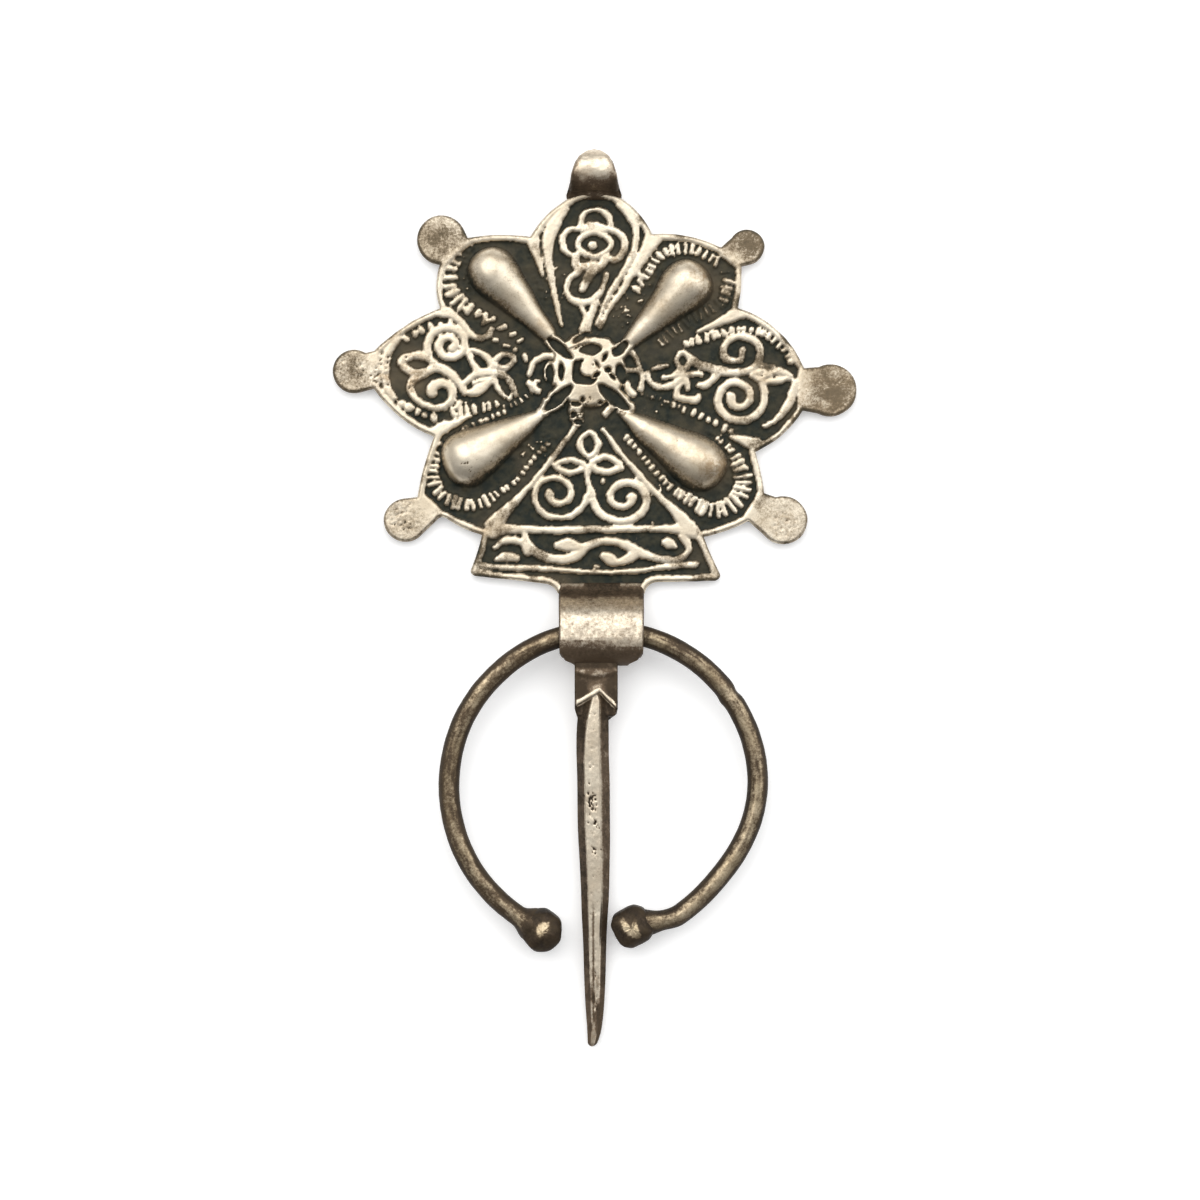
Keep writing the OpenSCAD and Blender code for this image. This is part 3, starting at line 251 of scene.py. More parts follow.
# Rows of ticks, square to a guide. Columns: x, y, length of the tick there
TICK_GUIDES = [
    [[-20.4, 49.6, 1.5], [-21.4, 47.0, 2.0], [-21.4, 44.2, 2.1], [-19.9, 42.1, 2.0],
     [-17.4, 40.6, 1.6], [-15.0, 39.9, 1.2]],
    [[6.4, 44.4, 1.2], [8.2, 46.9, 1.5], [9.9, 49.3, 1.6], [12.6, 50.3, 1.5], [15.4, 49.9, 1.5],
     [18.3, 48.4, 1.5]],
    [[20.1, 45.4, 1.8], [19.4, 42.6, 1.8]],
    [[-13.4, 25.9, 0.8], [-16.3, 24.6, 0.8], [-19.3, 23.1, 1.0], [-21.8, 21.3, 1.3], [-23.6, 18.9, 1.4],
     [-24.1, 16.4, 1.8], [-23.2, 14.0, 2.1], [-21.2, 12.5, 2.2], [-18.8, 11.9, 2.1], [-16.3, 12.4, 1.9],
     [-14.0, 13.9, 1.3], [-11.6, 15.6, 0.8], [-9.3, 18.6, 0.8], [-6.9, 21.1, 0.8]],
    [[18.3, 21.9, 0.8], [20.3, 20.2, 1.1], [21.8, 17.7, 1.7], [22.3, 15.1, 2.2], [21.4, 12.8, 2.2],
     [19.2, 11.3, 2.2], [16.6, 11.4, 2.0], [14.1, 12.9, 1.8], [11.4, 14.6, 1.2], [9.1, 17.1, 0.9],
     [7.0, 19.6, 0.8], [4.8, 22.0, 0.8]],
    [[-28.3, 36.7, 1.2], [-26.6, 37.7, 1.1], [-24.6, 38.6, 1.2], [-22.9, 39.1, 1.0], [-21.4, 39.4, 0.7]],
    [[-28.9, 27.2, 1.1], [-27.2, 26.1, 1.3], [-25.5, 25.4, 1.3], [-24.0, 25.0, 1.1]],
    [[-21.2, 25.9, 1.8], [-19.2, 26.0, 1.9], [-17.6, 26.3, 1.7], [-16.0, 26.7, 1.6], [-14.5, 27.1, 1.2]],
    [[13.9, 36.0, 1.2], [16.0, 36.8, 1.3], [18.5, 37.5, 1.3], [21.3, 38.2, 1.0], [24.1, 38.0, 1.1],
     [26.4, 36.9, 1.2], [28.2, 35.3, 1.1], [29.4, 33.3, 1.0]],
    [[15.0, 25.8, 1.3], [16.7, 24.8, 1.1], [18.0, 24.3, 1.1], [19.3, 23.5, 1.2], [20.5, 22.9, 1.0]]
]

# Teardrop bosses. Columns: x and y of the wide end, x and y of the tip, radius as a share, the tip's share of that
DROPS = [
    [-17.7, 49.8, -6.9, 37.4, 0.92, 0.36],
    [16.7, 47.6, 5.6, 36.6, 0.97, 0.33],
    [-22.3, 16.8, -8.4, 25.1, 1.06, 0.26],
    [19.3, 15.8, 4.4, 25.5, 1, 0.16]
]

# A teardrop's half section. Columns: share of its length from the wide end, share of its radius
DROP_SECTION = [
    [0.02, 0.4],
    [0.08, 0.78],
    [0.2, 1],
    [0.34, 0.96],
    [0.55, 0.74],
    [0.78, 0.5]
]

# Arms of the centre boss, towards the teardrops and the foot. Columns: x, y, width
BOSS_ARMS = [
    [[-6.8, 37.2, 2.7], [-5.2, 35.4, 3.4], [-3, 33.6, 4.6]],
    [[5.5, 36.4, 2.3], [4.1, 35, 3.3], [1.5, 33.3, 4.6]],
    [[-8, 25.6, 2], [-6.5, 27, 3.2], [-5.4, 28, 3.6], [-3.2, 30, 3.8]],
    [[5.4, 26.4, 2.3], [4.3, 27.1, 3.2], [3, 28.2, 3.5], [1, 30, 4]],
    [[-2.4, 28.2, 3.4], [-2.6, 26.6, 3], [-2.5, 25, 2.7], [-2.4, 24.1, 1.6]],
    [[-2, 31.9, 5.4], [-5.6, 31.7, 5]],
    [[-0.3, 33.5, 6], [-0.3, 35.25, 5.9]],
    [[0, 31.8, 5.4], [2.6, 31.8, 4.9], [3.6, 31.4, 3.8]]
]

# Hollows in the centre boss. Columns: x, y, half length, half width, angle
BOSS_CENTRE = [-0.9, 32.1]

BOSS_CUTS = [
    [-5.15, 35.35, 2.4, 0.78, -40],
    [3.95, 35.25, 1.45, 0.7, 50],
    [-5.4, 27.8, 2.85, 0.88, 41],
    [3, 27.9, 2.95, 1, -40],
    [-2.05, 36.95, 1.3, 0.42, 33],
    [-0.5, 37.3, 1.3, 0.38, -2],
    [-0.5, 35.2, 1.65, 0.85, 4],
    [-4.9, 31.9, 1.35, 0.45, 95],
    [-6.6, 31.3, 1.75, 0.65, 92],
    [4.1, 31.5, 1.6, 0.85, 108],
    [2.1, 32.1, 0.5, 0.33, -30],
    [1.6, 33.9, 0.6, 0.28, 60],
    [-2.7, 27, 0.85, 0.38, -10],
    [-3.1, 25.4, 0.55, 0.38, 80],
    [-2.3, 24.2, 0.75, 0.25, -10]
]

# The eye: a ring-shaped hollow. Its middle, and its inner and outer radius
EYE_CENTRE = [-1.4, 31.8]

EYE_R = [0.9, 1.85]

# The pin's shaft. Columns: share of its length, share of its size, sideways offset as a share of its width
SHAFT = [
    [0, 0.8, 0.04],
    [0.1, 0.97, -0.03],
    [0.25, 1, -0.02],
    [0.41, 0.97, 0],
    [0.57, 0.86, 0.03],
    [0.7, 0.73, 0.03],
    [0.86, 0.61, 0.03],
    [0.95, 0.45, 0.015],
    [1, 0.26, -0.06]
]

# The bail's half width going up. Columns: share of its half width, share of its height
BAIL_SHAPE = [
    [1.12, 0],
    [0.97, 0.2],
    [0.92, 0.42],
    [0.8, 0.66],
    [0.64, 0.85],
    [0.4, 0.96],
    [0.15, 1]
]

# Width, spacing and length factor of each row of ticks
TICK_LOOKS = [[0.9, 1.3, 1.2], [0.65, 1.0, 1.1], [0.7, 1.1, 1], [0.6, 0.98, 1.1], [0.7, 1.0, 1.32], [0.95, 1.45, 1],
              [1.05, 1.5, 1], [0.78, 1.2, 1.1], [0.72, 1.02, 1.1], [0.75, 1.3, 1]]

# Rows of worn, faint ticks beside the upper teardrops. Columns: x, y, length
FAINT_GUIDES = [
    [[19.7, 46.8, 1.6], [20.2, 44.9, 1.7], [19.6, 42.8, 1.8], [17.4, 41.2, 2.0], [14.8, 39.9, 2.2], [12.2, 38.2, 2.2],
    [9.9, 36.2, 1.8]],
    [[-18.2, 50.6, 1.2], [-19.6, 49.6, 1.4], [-20.5, 48.4, 1.6]],
    [[-9.4, 28.6, 1.0], [-11.6, 27.2, 1.0], [-13.4, 26.6, 0.9]],
    [[7.2, 28.6, 0.9], [9.2, 28.0, 1.0], [11.4, 27.2, 1.1], [13.6, 26.3, 1.0]]
]
FAINT_LOOK = [0.55, 0.95, 1]

# Uneven blobs of metal left in the fields. Columns: x, y, length, width, angle
BLOBS = [
    [-18.8, 41.3, 1.7, 0.9, 20],
    [-17.3, 40.4, 1.2, 0.9, 0],
    [-16.0, 39.4, 1.9, 0.7, 28],
    [-16.4, 40.2, 1.1, 0.6, -60],
    [-13.8, 38.5, 1.7, 0.8, 15],
    [-12.2, 37.5, 1.4, 0.7, 15],
    [-14.7, 36.6, 1.1, 0.9, 0],
    [-13.0, 35.8, 1.2, 0.6, -10],
    [-11.0, 36.6, 1.3, 0.6, 25],
    [-11.8, 35.1, 0.9, 0.9, 0],
    [-10.3, 33.9, 1.5, 0.75, -70],
    [-9.2, 29.4, 1.2, 1.0, 40],
    [-8.5, 30.4, 0.8, 0.7, 0],
    [-20.3, 26.9, 1.7, 1.0, 60],
    [-12.5, 28.2, 1.5, 0.6, 65],
    [-17.0, 24.5, 0.8, 0.5, 20],
    [-19.4, 23.2, 0.9, 0.7, -30],
    [6.8, 46.3, 1.9, 0.8, -60],
    [6.3, 44.1, 1.3, 0.8, -45],
    [5.0, 41.0, 0.8, 0.5, 0],
    [13.5, 47.6, 0.9, 0.5, 60],
    [8.7, 28.0, 0.6, 0.5, 0],
    [10.7, 27.4, 0.6, 0.5, 0],
    [12.0, 26.9, 0.9, 0.5, 80],
    [13.4, 26.2, 1.0, 0.4, 80],
    [1.3, 15.5, 0.8, 0.4, 80],
    [3.3, 9.0, 1.0, 0.6, 0],
    [4.6, 9.1, 0.9, 0.6, 20],
    [8.8, 9.2, 0.6, 0.5, 0],
    [6.3, 15.9, 1.2, 0.5, 75],
    [-8.6, 14.9, 0.6, 0.5, 0],
    [0.3, 2.6, 0.9, 0.5, 0],
    [4.3, 25.6, 1.1, 1.0, 0]
]

# Small hollows and worn spots of the centre boss, beside those of the part's source
WORN = [
    [2.2, 32.2, 0.45, 0.35, 0],
    [-2.3, 35.6, 1.1, 0.12, 22],
    [0.35, 32.95, 0.55, 0.14, -55],
    [3.2, 35.0, 0.7, 0.4, 60],
    [0.7, 37.1, 0.9, 0.22, -16],
    [0.3, 31.3, 0.5, 0.3, 30],
    [0.9, 27.2, 0.35, 0.25, 0],
    [-1.7, 27.6, 0.4, 0.3, 60],
    [-2.2, 24.5, 0.5, 0.3, 0],
    [2.8, 31.0, 0.7, 0.25, -50],
    [-1.6, 26.0, 0.4, 0.2, 20]
]

# Brown stains and duller places. Columns: x, y, radius, brown, patina
STAINS = [
    [-22.9, 51.6, 4.2, 0.35, 0.32],
    [23.4, 51.0, 3.6, 0.9, 0.36],
    [35.9, 29.0, 4.4, 1.4, 0.4],
    [-36.6, 31.6, 3.6, 0.4, 0.26],
    [-28.9, 9.6, 3.4, 0.35, 0.1],
    [28.6, 9.6, 3.8, 0.45, 0.1],
    [-27.2, 33.6, 3.0, 0.75, 0.05],
    [-26.4, 29.8, 1.7, 1.0, 0.12],
    [-30.9, 30.6, 2.4, 0.7, 0.1],
    [-29.4, 37.6, 2.2, 0.5, 0.08],
    [18.6, 17.4, 2.6, 0.8, 0.03],
    [17.2, 45.6, 2.4, 0.6, 0.05],
    [-15.4, 8.4, 2.6, 0.6, 0.05],
    [-6.4, 0.3, 3.0, 0.5, 0.05],
    [16.0, 4.4, 2.6, 0.4, 0.08],
    [-0.5, 26.9, 2.4, 0.5, 0],
    [-0.4, 35.2, 1.5, 0.3, -0.32],
    [-3.0, 36.2, 1.2, 0.8, 0.12],
    [24.6, 31.0, 1.9, 0.7, 0.05],
    [23.0, 28.6, 1.5, 0.6, 0.05],
    [26.6, 33.2, 1.6, 0.2, 0.35],
    [30.6, 24.6, 3.0, 0.6, 0.12],
    [0.4, 32.4, 0.9, 0.7, 0],
    [-1.4, 47.6, 1.3, 0.9, 0.05],
    [3.0, 48.9, 0.9, 0.8, 0.1],
    [1.4, 41.4, 1.4, 0.5, 0.15],
    [-1.0, 54.2, 1.2, 0.3, 0.12],
    [-4.2, 0.8, 1.1, 0.2, -0.5],
    [-17.5, 44.0, 6.5, 0.1, 0.17],
    [15.5, 44.0, 5.5, 0.1, 0.09],
    [0.0, 47.5, 8.5, 0.2, 0.18],
    [-14.0, 19.5, 5.0, 0.0, -0.08]
]

# Bright scraps of rim over the sleeve. Columns: left, right, bottom, top
SCRAPS = [
    [-5.0, -1.2, -0.6, 0.5],
    [3.9, 7.4, -0.3, 0.35]
]

# Groups of pits. Columns: x, y, radius of the group, pits, depth
PITS = [
    [-18.4, 17.9, 1.5, 26, 0.14],
    [-14.9, 18.6, 1.0, 10, 0.12],
    [-18.9, 46.0, 1.4, 18, 0.08],
    [19.4, 16.6, 2.0, 40, 0.1],
    [13.0, 21.8, 1.3, 14, 0.1],
    [18.4, 45.6, 1.6, 14, 0.1],
    [-28.6, 10.0, 2.4, 60, 0.12],
    [-36.4, 31.8, 2.2, 40, 0.1],
    [28.8, 8.6, 2.4, 34, 0.1],
    [35.8, 28.4, 2.6, 30, 0.08],
    [-22.4, 51.2, 2.2, 16, 0.06],
    [23.2, 51.2, 2.2, 18, 0.06],
    [-28.4, 33.6, 2.2, 36, 0.12],
    [-26.6, 29.8, 1.4, 34, 0.14],
    [-30.9, 31.6, 2.6, 60, 0.16],
    [23.2, 28.2, 1.4, 16, 0.1],
    [25.0, 30.6, 1.2, 14, 0.1],
    [-6.0, 0.2, 2.6, 24, 0.12],
    [-0.5, 27.0, 1.8, 26, 0.2],
    [-2.2, 25.2, 1.2, 22, 0.25],
    [0.2, 32.2, 0.9, 14, 0.15]
]


def smoothstep(low, high, v):
    t = np.clip((v - low) / (high - low), 0, 1)
    return t * t * (3 - 2 * t)


def noise(x, y, size, seed):
    """Smooth random waves from -1 to 1, as long as size."""
    table = np.random.default_rng(seed).uniform(-1, 1, (64, 64))
    u, v = x / size + 640, y / size + 640
    i, j = np.floor(u).astype(int), np.floor(v).astype(int)
    f, g = u - i, v - j
    f, g = f * f * (3 - 2 * f), g * g * (3 - 2 * g)
    i, j, i2, j2 = i % 64, j % 64, (i + 1) % 64, (j + 1) % 64
    low = table[j, i] * (1 - f) + table[j, i2] * f
    high = table[j2, i] * (1 - f) + table[j2, i2] * f
    return low * (1 - g) + high * g


def arc(a, b, bulge, steps):
    """Points from a to just before b on an arc that bulges to the right."""
    if bulge == 0:
        return [a]
    (ax, ay), (bx, by) = a, b
    half = math.hypot(bx - ax, by - ay) / 2
    sag = bulge * half
    radius = (half * half + sag * sag) / (2 * sag)
    cx = (ax + bx) / 2 + (by - ay) / (2 * half) * (sag - radius)
    cy = (ay + by) / 2 + (ax - bx) / (2 * half) * (sag - radius)
    points = []
    for i in range(steps):
        t = 4 * math.atan(bulge) * i / steps
        dx, dy = ax - cx, ay - cy
        points.append((cx + dx * math.cos(t) - dy * math.sin(t), cy + dx * math.sin(t) + dy * math.cos(t)))
    return points


def outline_of(rows):
    points = []
    for i, row in enumerate(rows):
        nxt = rows[(i + 1) % len(rows)]
        points += arc((row[0], row[1]), (nxt[0], nxt[1]), row[2], 24 if abs(row[2]) > 1 else 8)
    return np.array(points)


def smooth(rows, steps):
    """A smooth curve through the rows of a table, any number of columns wide."""
    p = np.array(rows, float)
    last = len(p) - 1
    out = []
    for i in range(last):
        a, b, c, d = p[max(i - 1, 0)], p[i], p[i + 1], p[min(i + 2, last)]
        for k in range(steps):
            t = k / steps
            out.append(0.5 * (2 * b + (c - a) * t + (2 * a - 5 * b + 4 * c - d) * t * t
                              + (3 * b - a - 3 * c + d) * t ** 3))
    out.append(p[last])
    return np.array(out)


class Sheet:
    """A grid of points over part of the drawing, with distances to the drawing's shapes."""

    def __init__(self, x0, x1, y0, y1, step):
        self.step, self.x0, self.y0 = step, x0, y0
        self.X, self.Y = np.meshgrid(np.arange(x0, x1, step), np.arange(y0, y1, step))

    def window(self, x0, x1, y0, y1):
        ny, nx = self.X.shape
        i0, i1 = int((x0 - self.x0) / self.step), int((x1 - self.x0) / self.step) + 2
        j0, j1 = int((y0 - self.y0) / self.step), int((y1 - self.y0) / self.step) + 2
        return np.s_[min(max(j0, 0), ny):min(max(j1, 0), ny), min(max(i0, 0), nx):min(max(i1, 0), nx)]

    def distance(self, points, reach=3.0):
        """Distance to a closed outline, above 0 inside, at most reach."""
        best = np.full(self.X.shape, reach * reach)
        inside = np.zeros(self.X.shape, bool)
        xs, ys = self.X[0], self.Y[:, 0]
        for (ax, ay), (bx, by) in zip(points, np.roll(points, -1, axis=0)):
            w = self.window(min(ax, bx) - reach, max(ax, bx) + reach, min(ay, by) - reach, max(ay, by) + reach)
            x, y = self.X[w], self.Y[w]
            dx, dy = bx - ax, by - ay
            t = np.clip(((x - ax) * dx + (y - ay) * dy) / (dx * dx + dy * dy + 1e-12), 0, 1)
            best[w] = np.minimum(best[w], (x - ax - t * dx) ** 2 + (y - ay - t * dy) ** 2)
            for j in np.nonzero((ys > min(ay, by)) & (ys <= max(ay, by)))[0]:
                inside[j] ^= xs > ax + (ys[j] - ay) * dx / dy
        return np.where(inside, 1, -1) * np.sqrt(best)

    def stroke(self, edge, rows, X, Y, reach=0.9):
        """edge becomes the distance inside the edge of a line. Its rows are x, y and width."""
        for (ax, ay, aw), (bx, by, bw) in zip(rows[:-1], rows[1:]):
            w = self.window(min(ax, bx) - reach - aw, max(ax, bx) + reach + aw,
                            min(ay, by) - reach - aw, max(ay, by) + reach + aw)
            dx, dy = bx - ax, by - ay
            x, y = X[w] - ax, Y[w] - ay
            t = np.clip((x * dx + y * dy) / (dx * dx + dy * dy + 1e-12), 0, 1)
            edge[w] = np.maximum(edge[w], (aw + t * (bw - aw)) / 2 - np.hypot(x - t * dx, y - t * dy))

    def dots(self, rng, rows):
        """Sum of small round bumps. Columns: x, y, radius, height."""
        out = np.zeros(self.X.shape)
        for x, y, r, h in rows:
            w = self.window(x - 2.5 * r, x + 2.5 * r, y - 2.5 * r, y + 2.5 * r)
            d = ((self.X[w] - x) ** 2 + (self.Y[w] - y) ** 2) / (r * r)
            out[w] += h * np.exp(-1.6 * d)
        return out

    def blurred(self, v, radius):
        n = max(1, int(round(radius / self.step)))
        for _ in range(2):
            for axis in (0, 1):
                pad = [(n + 1, n) if a == axis else (0, 0) for a in (0, 1)]
                c = np.cumsum(np.pad(v, pad, mode="edge"), axis=axis)
                hi = [slice(2 * n + 1, None) if a == axis else slice(None) for a in (0, 1)]
                lo = [slice(None, -(2 * n + 1)) if a == axis else slice(None) for a in (0, 1)]
                v = (c[tuple(hi)] - c[tuple(lo)]) / (2 * n + 1)
        return v


def leaf_outline(row, shrink=0.0, steps=28):
    x, y, length, width, angle = row
    a = np.linspace(0, 2 * math.pi, steps, endpoint=False)
    u = (length - shrink) * np.cos(a)
    v = (width - shrink) * np.sin(a) * (1 - 0.25 * np.abs(np.cos(a)))
    c, s = math.cos(math.radians(angle)), math.sin(math.radians(angle))
    return np.stack([x + u * c - v * s, y + u * s + v * c], 1)


def spiral_rows(row):
    x, y, outer, inner, start, turns, line, squash = row
    t = np.linspace(0, 1, int(abs(turns) * 26))
    radius = inner + (outer - inner) * (1 - t) ** 1.2
    a = np.radians(start + 360 * turns * t)
    width = LINE_W * line * (1 - 0.08 * t) + 0.4 * np.exp(-((t - 1) / 0.06) ** 2)
    return np.stack([x + radius * np.cos(a), y + squash * radius * np.sin(a), width], 1)


def tick_rows(guide, rng, width, spacing, stretch):
    """Short lines square to a guide, each a start and an end."""
    p = smooth(guide, 12)
    d = np.hypot(np.diff(p[:, 0]), np.diff(p[:, 1]))
    s = np.concatenate([[0], np.cumsum(d)])
    n = max(2, int(round(s[-1] / spacing)) + 1)
    out = []
    for at in np.linspace(0, s[-1], n):
        at = np.clip(at + rng.uniform(-0.14, 0.14) * spacing, 0, s[-1])
        x, y, length = [np.interp(at, s, p[:, k]) for k in range(3)]
        a = np.interp(at + 0.1, s, p[:, 0]) - np.interp(at - 0.1, s, p[:, 0])
        b = np.interp(at + 0.1, s, p[:, 1]) - np.interp(at - 0.1, s, p[:, 1])
        turn = math.atan2(b, a) + math.pi / 2 + rng.uniform(-0.16, 0.16)
        w = width * rng.uniform(0.75, 1.2)
        half = max(0.05, (stretch * length * rng.uniform(0.8, 1.08) - w) / 2)
        dx, dy = half * math.cos(turn), half * math.sin(turn)
        out.append(np.array([[x - dx, y - dy, w], [x + dx, y + dy, w * rng.uniform(0.8, 1.1)]]))
    return out


def to_metres(v):
    return (v - np.array([MID[0], MID[1], 0.0])) / 1000


def make_object(name, points, faces, body, material, slot, **values):
    """A smooth mesh from points in millimetres, with named values on its points."""
    mesh = bpy.data.meshes.new(name)
    points = np.array(points, float)
    points[:, 2] = np.maximum(points[:, 2], 0.01)
    mesh.from_pydata(to_metres(points).tolist(), [], np.asarray(faces).tolist())
    mesh.polygons.foreach_set("use_smooth", np.ones(len(mesh.polygons), bool))
    for key, v in values.items():
        mesh.attributes.new(key, "FLOAT", "POINT").data.foreach_set("value", np.asarray(v, np.float32))
    mesh.materials.append(material)
    mesh.update()
    obj = bpy.data.objects.new(name, mesh)
    bpy.context.collection.objects.link(obj)
    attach(obj, body)
    return obj


def wrap_faces(rows, cols, closed=True, flip=False):
    """Faces of a grid of points with that many rows, closed along its columns."""
    i, j = np.meshgrid(np.arange(rows - 1), np.arange(cols if closed else cols - 1), indexing="ij")
    k = (j + 1) % cols
    q = np.stack([i * cols + j, i * cols + k, (i + 1) * cols + k, (i + 1) * cols + j], -1).reshape(-1, 4)
    return q[:, ::-1] if flip else q


# The plate

def plate_relief(sheet):
    """Heights of the plate's front, with how dark and how brown it is, and the distance from its edge."""
    rng = np.random.default_rng(11)
    X, Y = sheet.X, sheet.Y
    edge = sheet.distance(outline_of(OUTLINE)) - 0.05 - 0.05 * noise(X, Y, 1.7, 1)
    lobes = sheet.distance(outline_of([row for row in OUTLINE if row[3] == 0]))
    # The lines wander a little, as they do in a casting
    WX = X + 0.09 * noise(X, Y, 1.9, 2) + 0.06 * noise(X, Y, 0.7, 3)
    WY = Y + 0.09 * noise(X, Y, 1.9, 4) + 0.06 * noise(X, Y, 0.7, 5)

    def strokes(tables, start=-1.0):
        inside = np.full(X.shape, start)
        for rows in tables:
            sheet.stroke(inside, rows, WX, WY)
        return inside

    def drawn(rows):
        p = smooth(rows, 7)
        p[:, 2] *= LINE_W
        return p

    loops = []
    for row in LOOPS:
        p = leaf_outline(row[:5], 0.5 * row[5] * LINE_W)
        loops.append(np.column_stack([np.concatenate([p, p[:1]]), np.full(len(p) + 1, row[5] * LINE_W)]))
    lines = strokes([drawn(rows) for table in (UPPER_LINES, LEFT_LINES, RIGHT_LINES, LOWER_LINES, FOOT_LINES,
        BOSS_LINES)
                     for rows in table] + [spiral_rows(row) for row in SPIRALS] + loops
                    + [np.array([[x, y, 2 * r], [x + 0.01, y, 2 * r]]) for x, y, r in STUDS])
    bars = [rows for guide, look in zip(TICK_GUIDES, TICK_LOOKS) for rows in tick_rows(guide, rng, *look)]
    for x, y, length, width, angle in BLOBS:
        dx, dy = (length - width) / 2 * math.cos(math.radians(angle)), (length - width) / 2 * math.sin(math.radians(angle))
        bars.append(np.array([[x - dx, y - dy, width], [x + dx, y + dy, 0.85 * width]]))
    ticks = strokes(bars)
    faint = strokes([rows for guide in FAINT_GUIDES for rows in tick_rows(guide, rng, *FAINT_LOOK)])
    rim = RIM_W + 0.12 * noise(X, Y, 2.1, 6) - lobes
    ragged = 0.08 * noise(X, Y, 0.45, 7) + 0.06 * noise(X, Y, 1.1, 8)
    inside = np.maximum(np.maximum(lines + 0.13, rim + 0.15), ticks + 0.07) + ragged
    crown = smoothstep(-0.16, 0.13, inside) * (0.86 + 0.14 * smoothstep(0.1, 0.5, inside))
    tick_only = smoothstep(0.0, 0.2, ticks - np.maximum(lines, rim))
    crown *= 1 - tick_only * (0.14 + 0.14 * noise(X, Y, 2.6, 12))
    crown = np.maximum(crown, (0.5 + 0.2 * noise(X, Y, 2.1, 29)) * smoothstep(-0.2, 0.2, faint + ragged))
    z = FIELD_Z + FIELD_D * crown
    raised = crown.copy()
    # Grains of metal left in the fields, most of them beside the teardrops, and a rough floor
    beside = np.zeros(X.shape)
    for x0, y0, x1, y1, share, tip in DROPS:
        beside = np.maximum(beside, smoothstep(8.0, 4.5, np.hypot(X - (x0 + x1) / 2, Y - (y0 + y1) / 2) * 0.72))
    grains = []
    for _ in range(3800):
        x, y = rng.uniform(-34, 34), rng.uniform(1, 57)
        grains.append((x, y, rng.uniform(0.13, 0.4), rng.uniform(0.12, 0.55)))
    floor = smoothstep(0.6, 0.2, crown)
    rough = 0.03 * noise(X, Y, 0.5, 9) + 0.04 * noise(X, Y, 1.1, 10)
    patchy = smoothstep(-0.3, 0.5, noise(X, Y, 5.0, 13)) * (0.25 + 0.75 * beside)
    bumps = sheet.dots(rng, grains) * floor * patchy
    z += bumps + rough * (0.3 + floor)
    dark = 0.97 * smoothstep(0.72, 0.22, raised + 1.6 * bumps) + floor * (0.07 * noise(X, Y, 1.8,
        14) - 0.1 * rough / 0.07)

    # Teardrops
    for x0, y0, x1, y1, share, tip in DROPS:
        shape = smooth(DROP_SECTION + [[1, tip], [1.04, 0.75 * tip], [1.07, 0.02]], 8)
        at, wide = np.concatenate([[0], shape[:, 0]]), np.concatenate([[0], shape[:, 1]])
        radius, length = DROP_R * share, math.hypot(x1 - x0, y1 - y0)
        ux, uy = (x1 - x0) / length, (y1 - y0) / length
        w = sheet.window(min(x0, x1) - 6, max(x0, x1) + 6, min(y0, y1) - 6, max(y0, y1) + 6)
        x, y = X[w] + 0.12 * noise(X[w], Y[w], 3.1, 15), Y[w] + 0.12 * noise(X[w], Y[w], 3.1, 16)
        t = ((x - x0) * ux + (y - y0) * uy) / length
        side = -(x - x0) * uy + (y - y0) * ux
        r = radius * np.interp(t, at, wide, left=0, right=0)
        q = np.abs(side)
        body = PLATE_T - DROP_SINK * radius + t * length * math.sin(math.radians(DROP_LEAN))
        top = body + np.sqrt(np.maximum(r * r - q * q, 0))
        top = np.where((q < r) & (t > 0) & (t < 1.07), top, 0)
        top += np.where(top > 0, 0.05 * noise(X[w], Y[w], 2.2, 17) + 0.02 * noise(X[w], Y[w], 0.7, 18), 0)
        # Patina, with painted shade on the lower side: the darkening climbs the drop's lower side further than its
        # upper side
        shaded_side = np.sign(side) * ux
        lean = np.clip(q / np.maximum(r, 0.2), 0, 1)
        speckle = 0.05 * noise(X[w], Y[w], 0.6, 19) + 0.07 * noise(X[w], Y[w], 0.28, 20)
        lean = lean + speckle - 0.1 * shaded_side
        # Patina at the drop's foot, and painted shade down its sloping sides
        edge_patina_and_shade = 0.3 * smoothstep(0.5, 0.86, lean) + 0.7 * smoothstep(0.8, 1.08, lean)
        edge_patina_and_shade = np.maximum(edge_patina_and_shade, smoothstep(0.03, 0.0, t - 0.1 * speckle))
        higher = top > z[w] + 0.05
        dark[w] = np.where(higher, 0.04 + 0.86 * edge_patina_and_shade, dark[w])
        # A dark seam round the drop's foot
        near = smoothstep(0.8, 0.0, q - r) * (t > -0.05) * (t < 0.96) * ~higher
        dark[w] = np.maximum(dark[w], near * smoothstep(1.05, 0.5, raised[w]))
        z[w] = np.maximum(z[w], top)

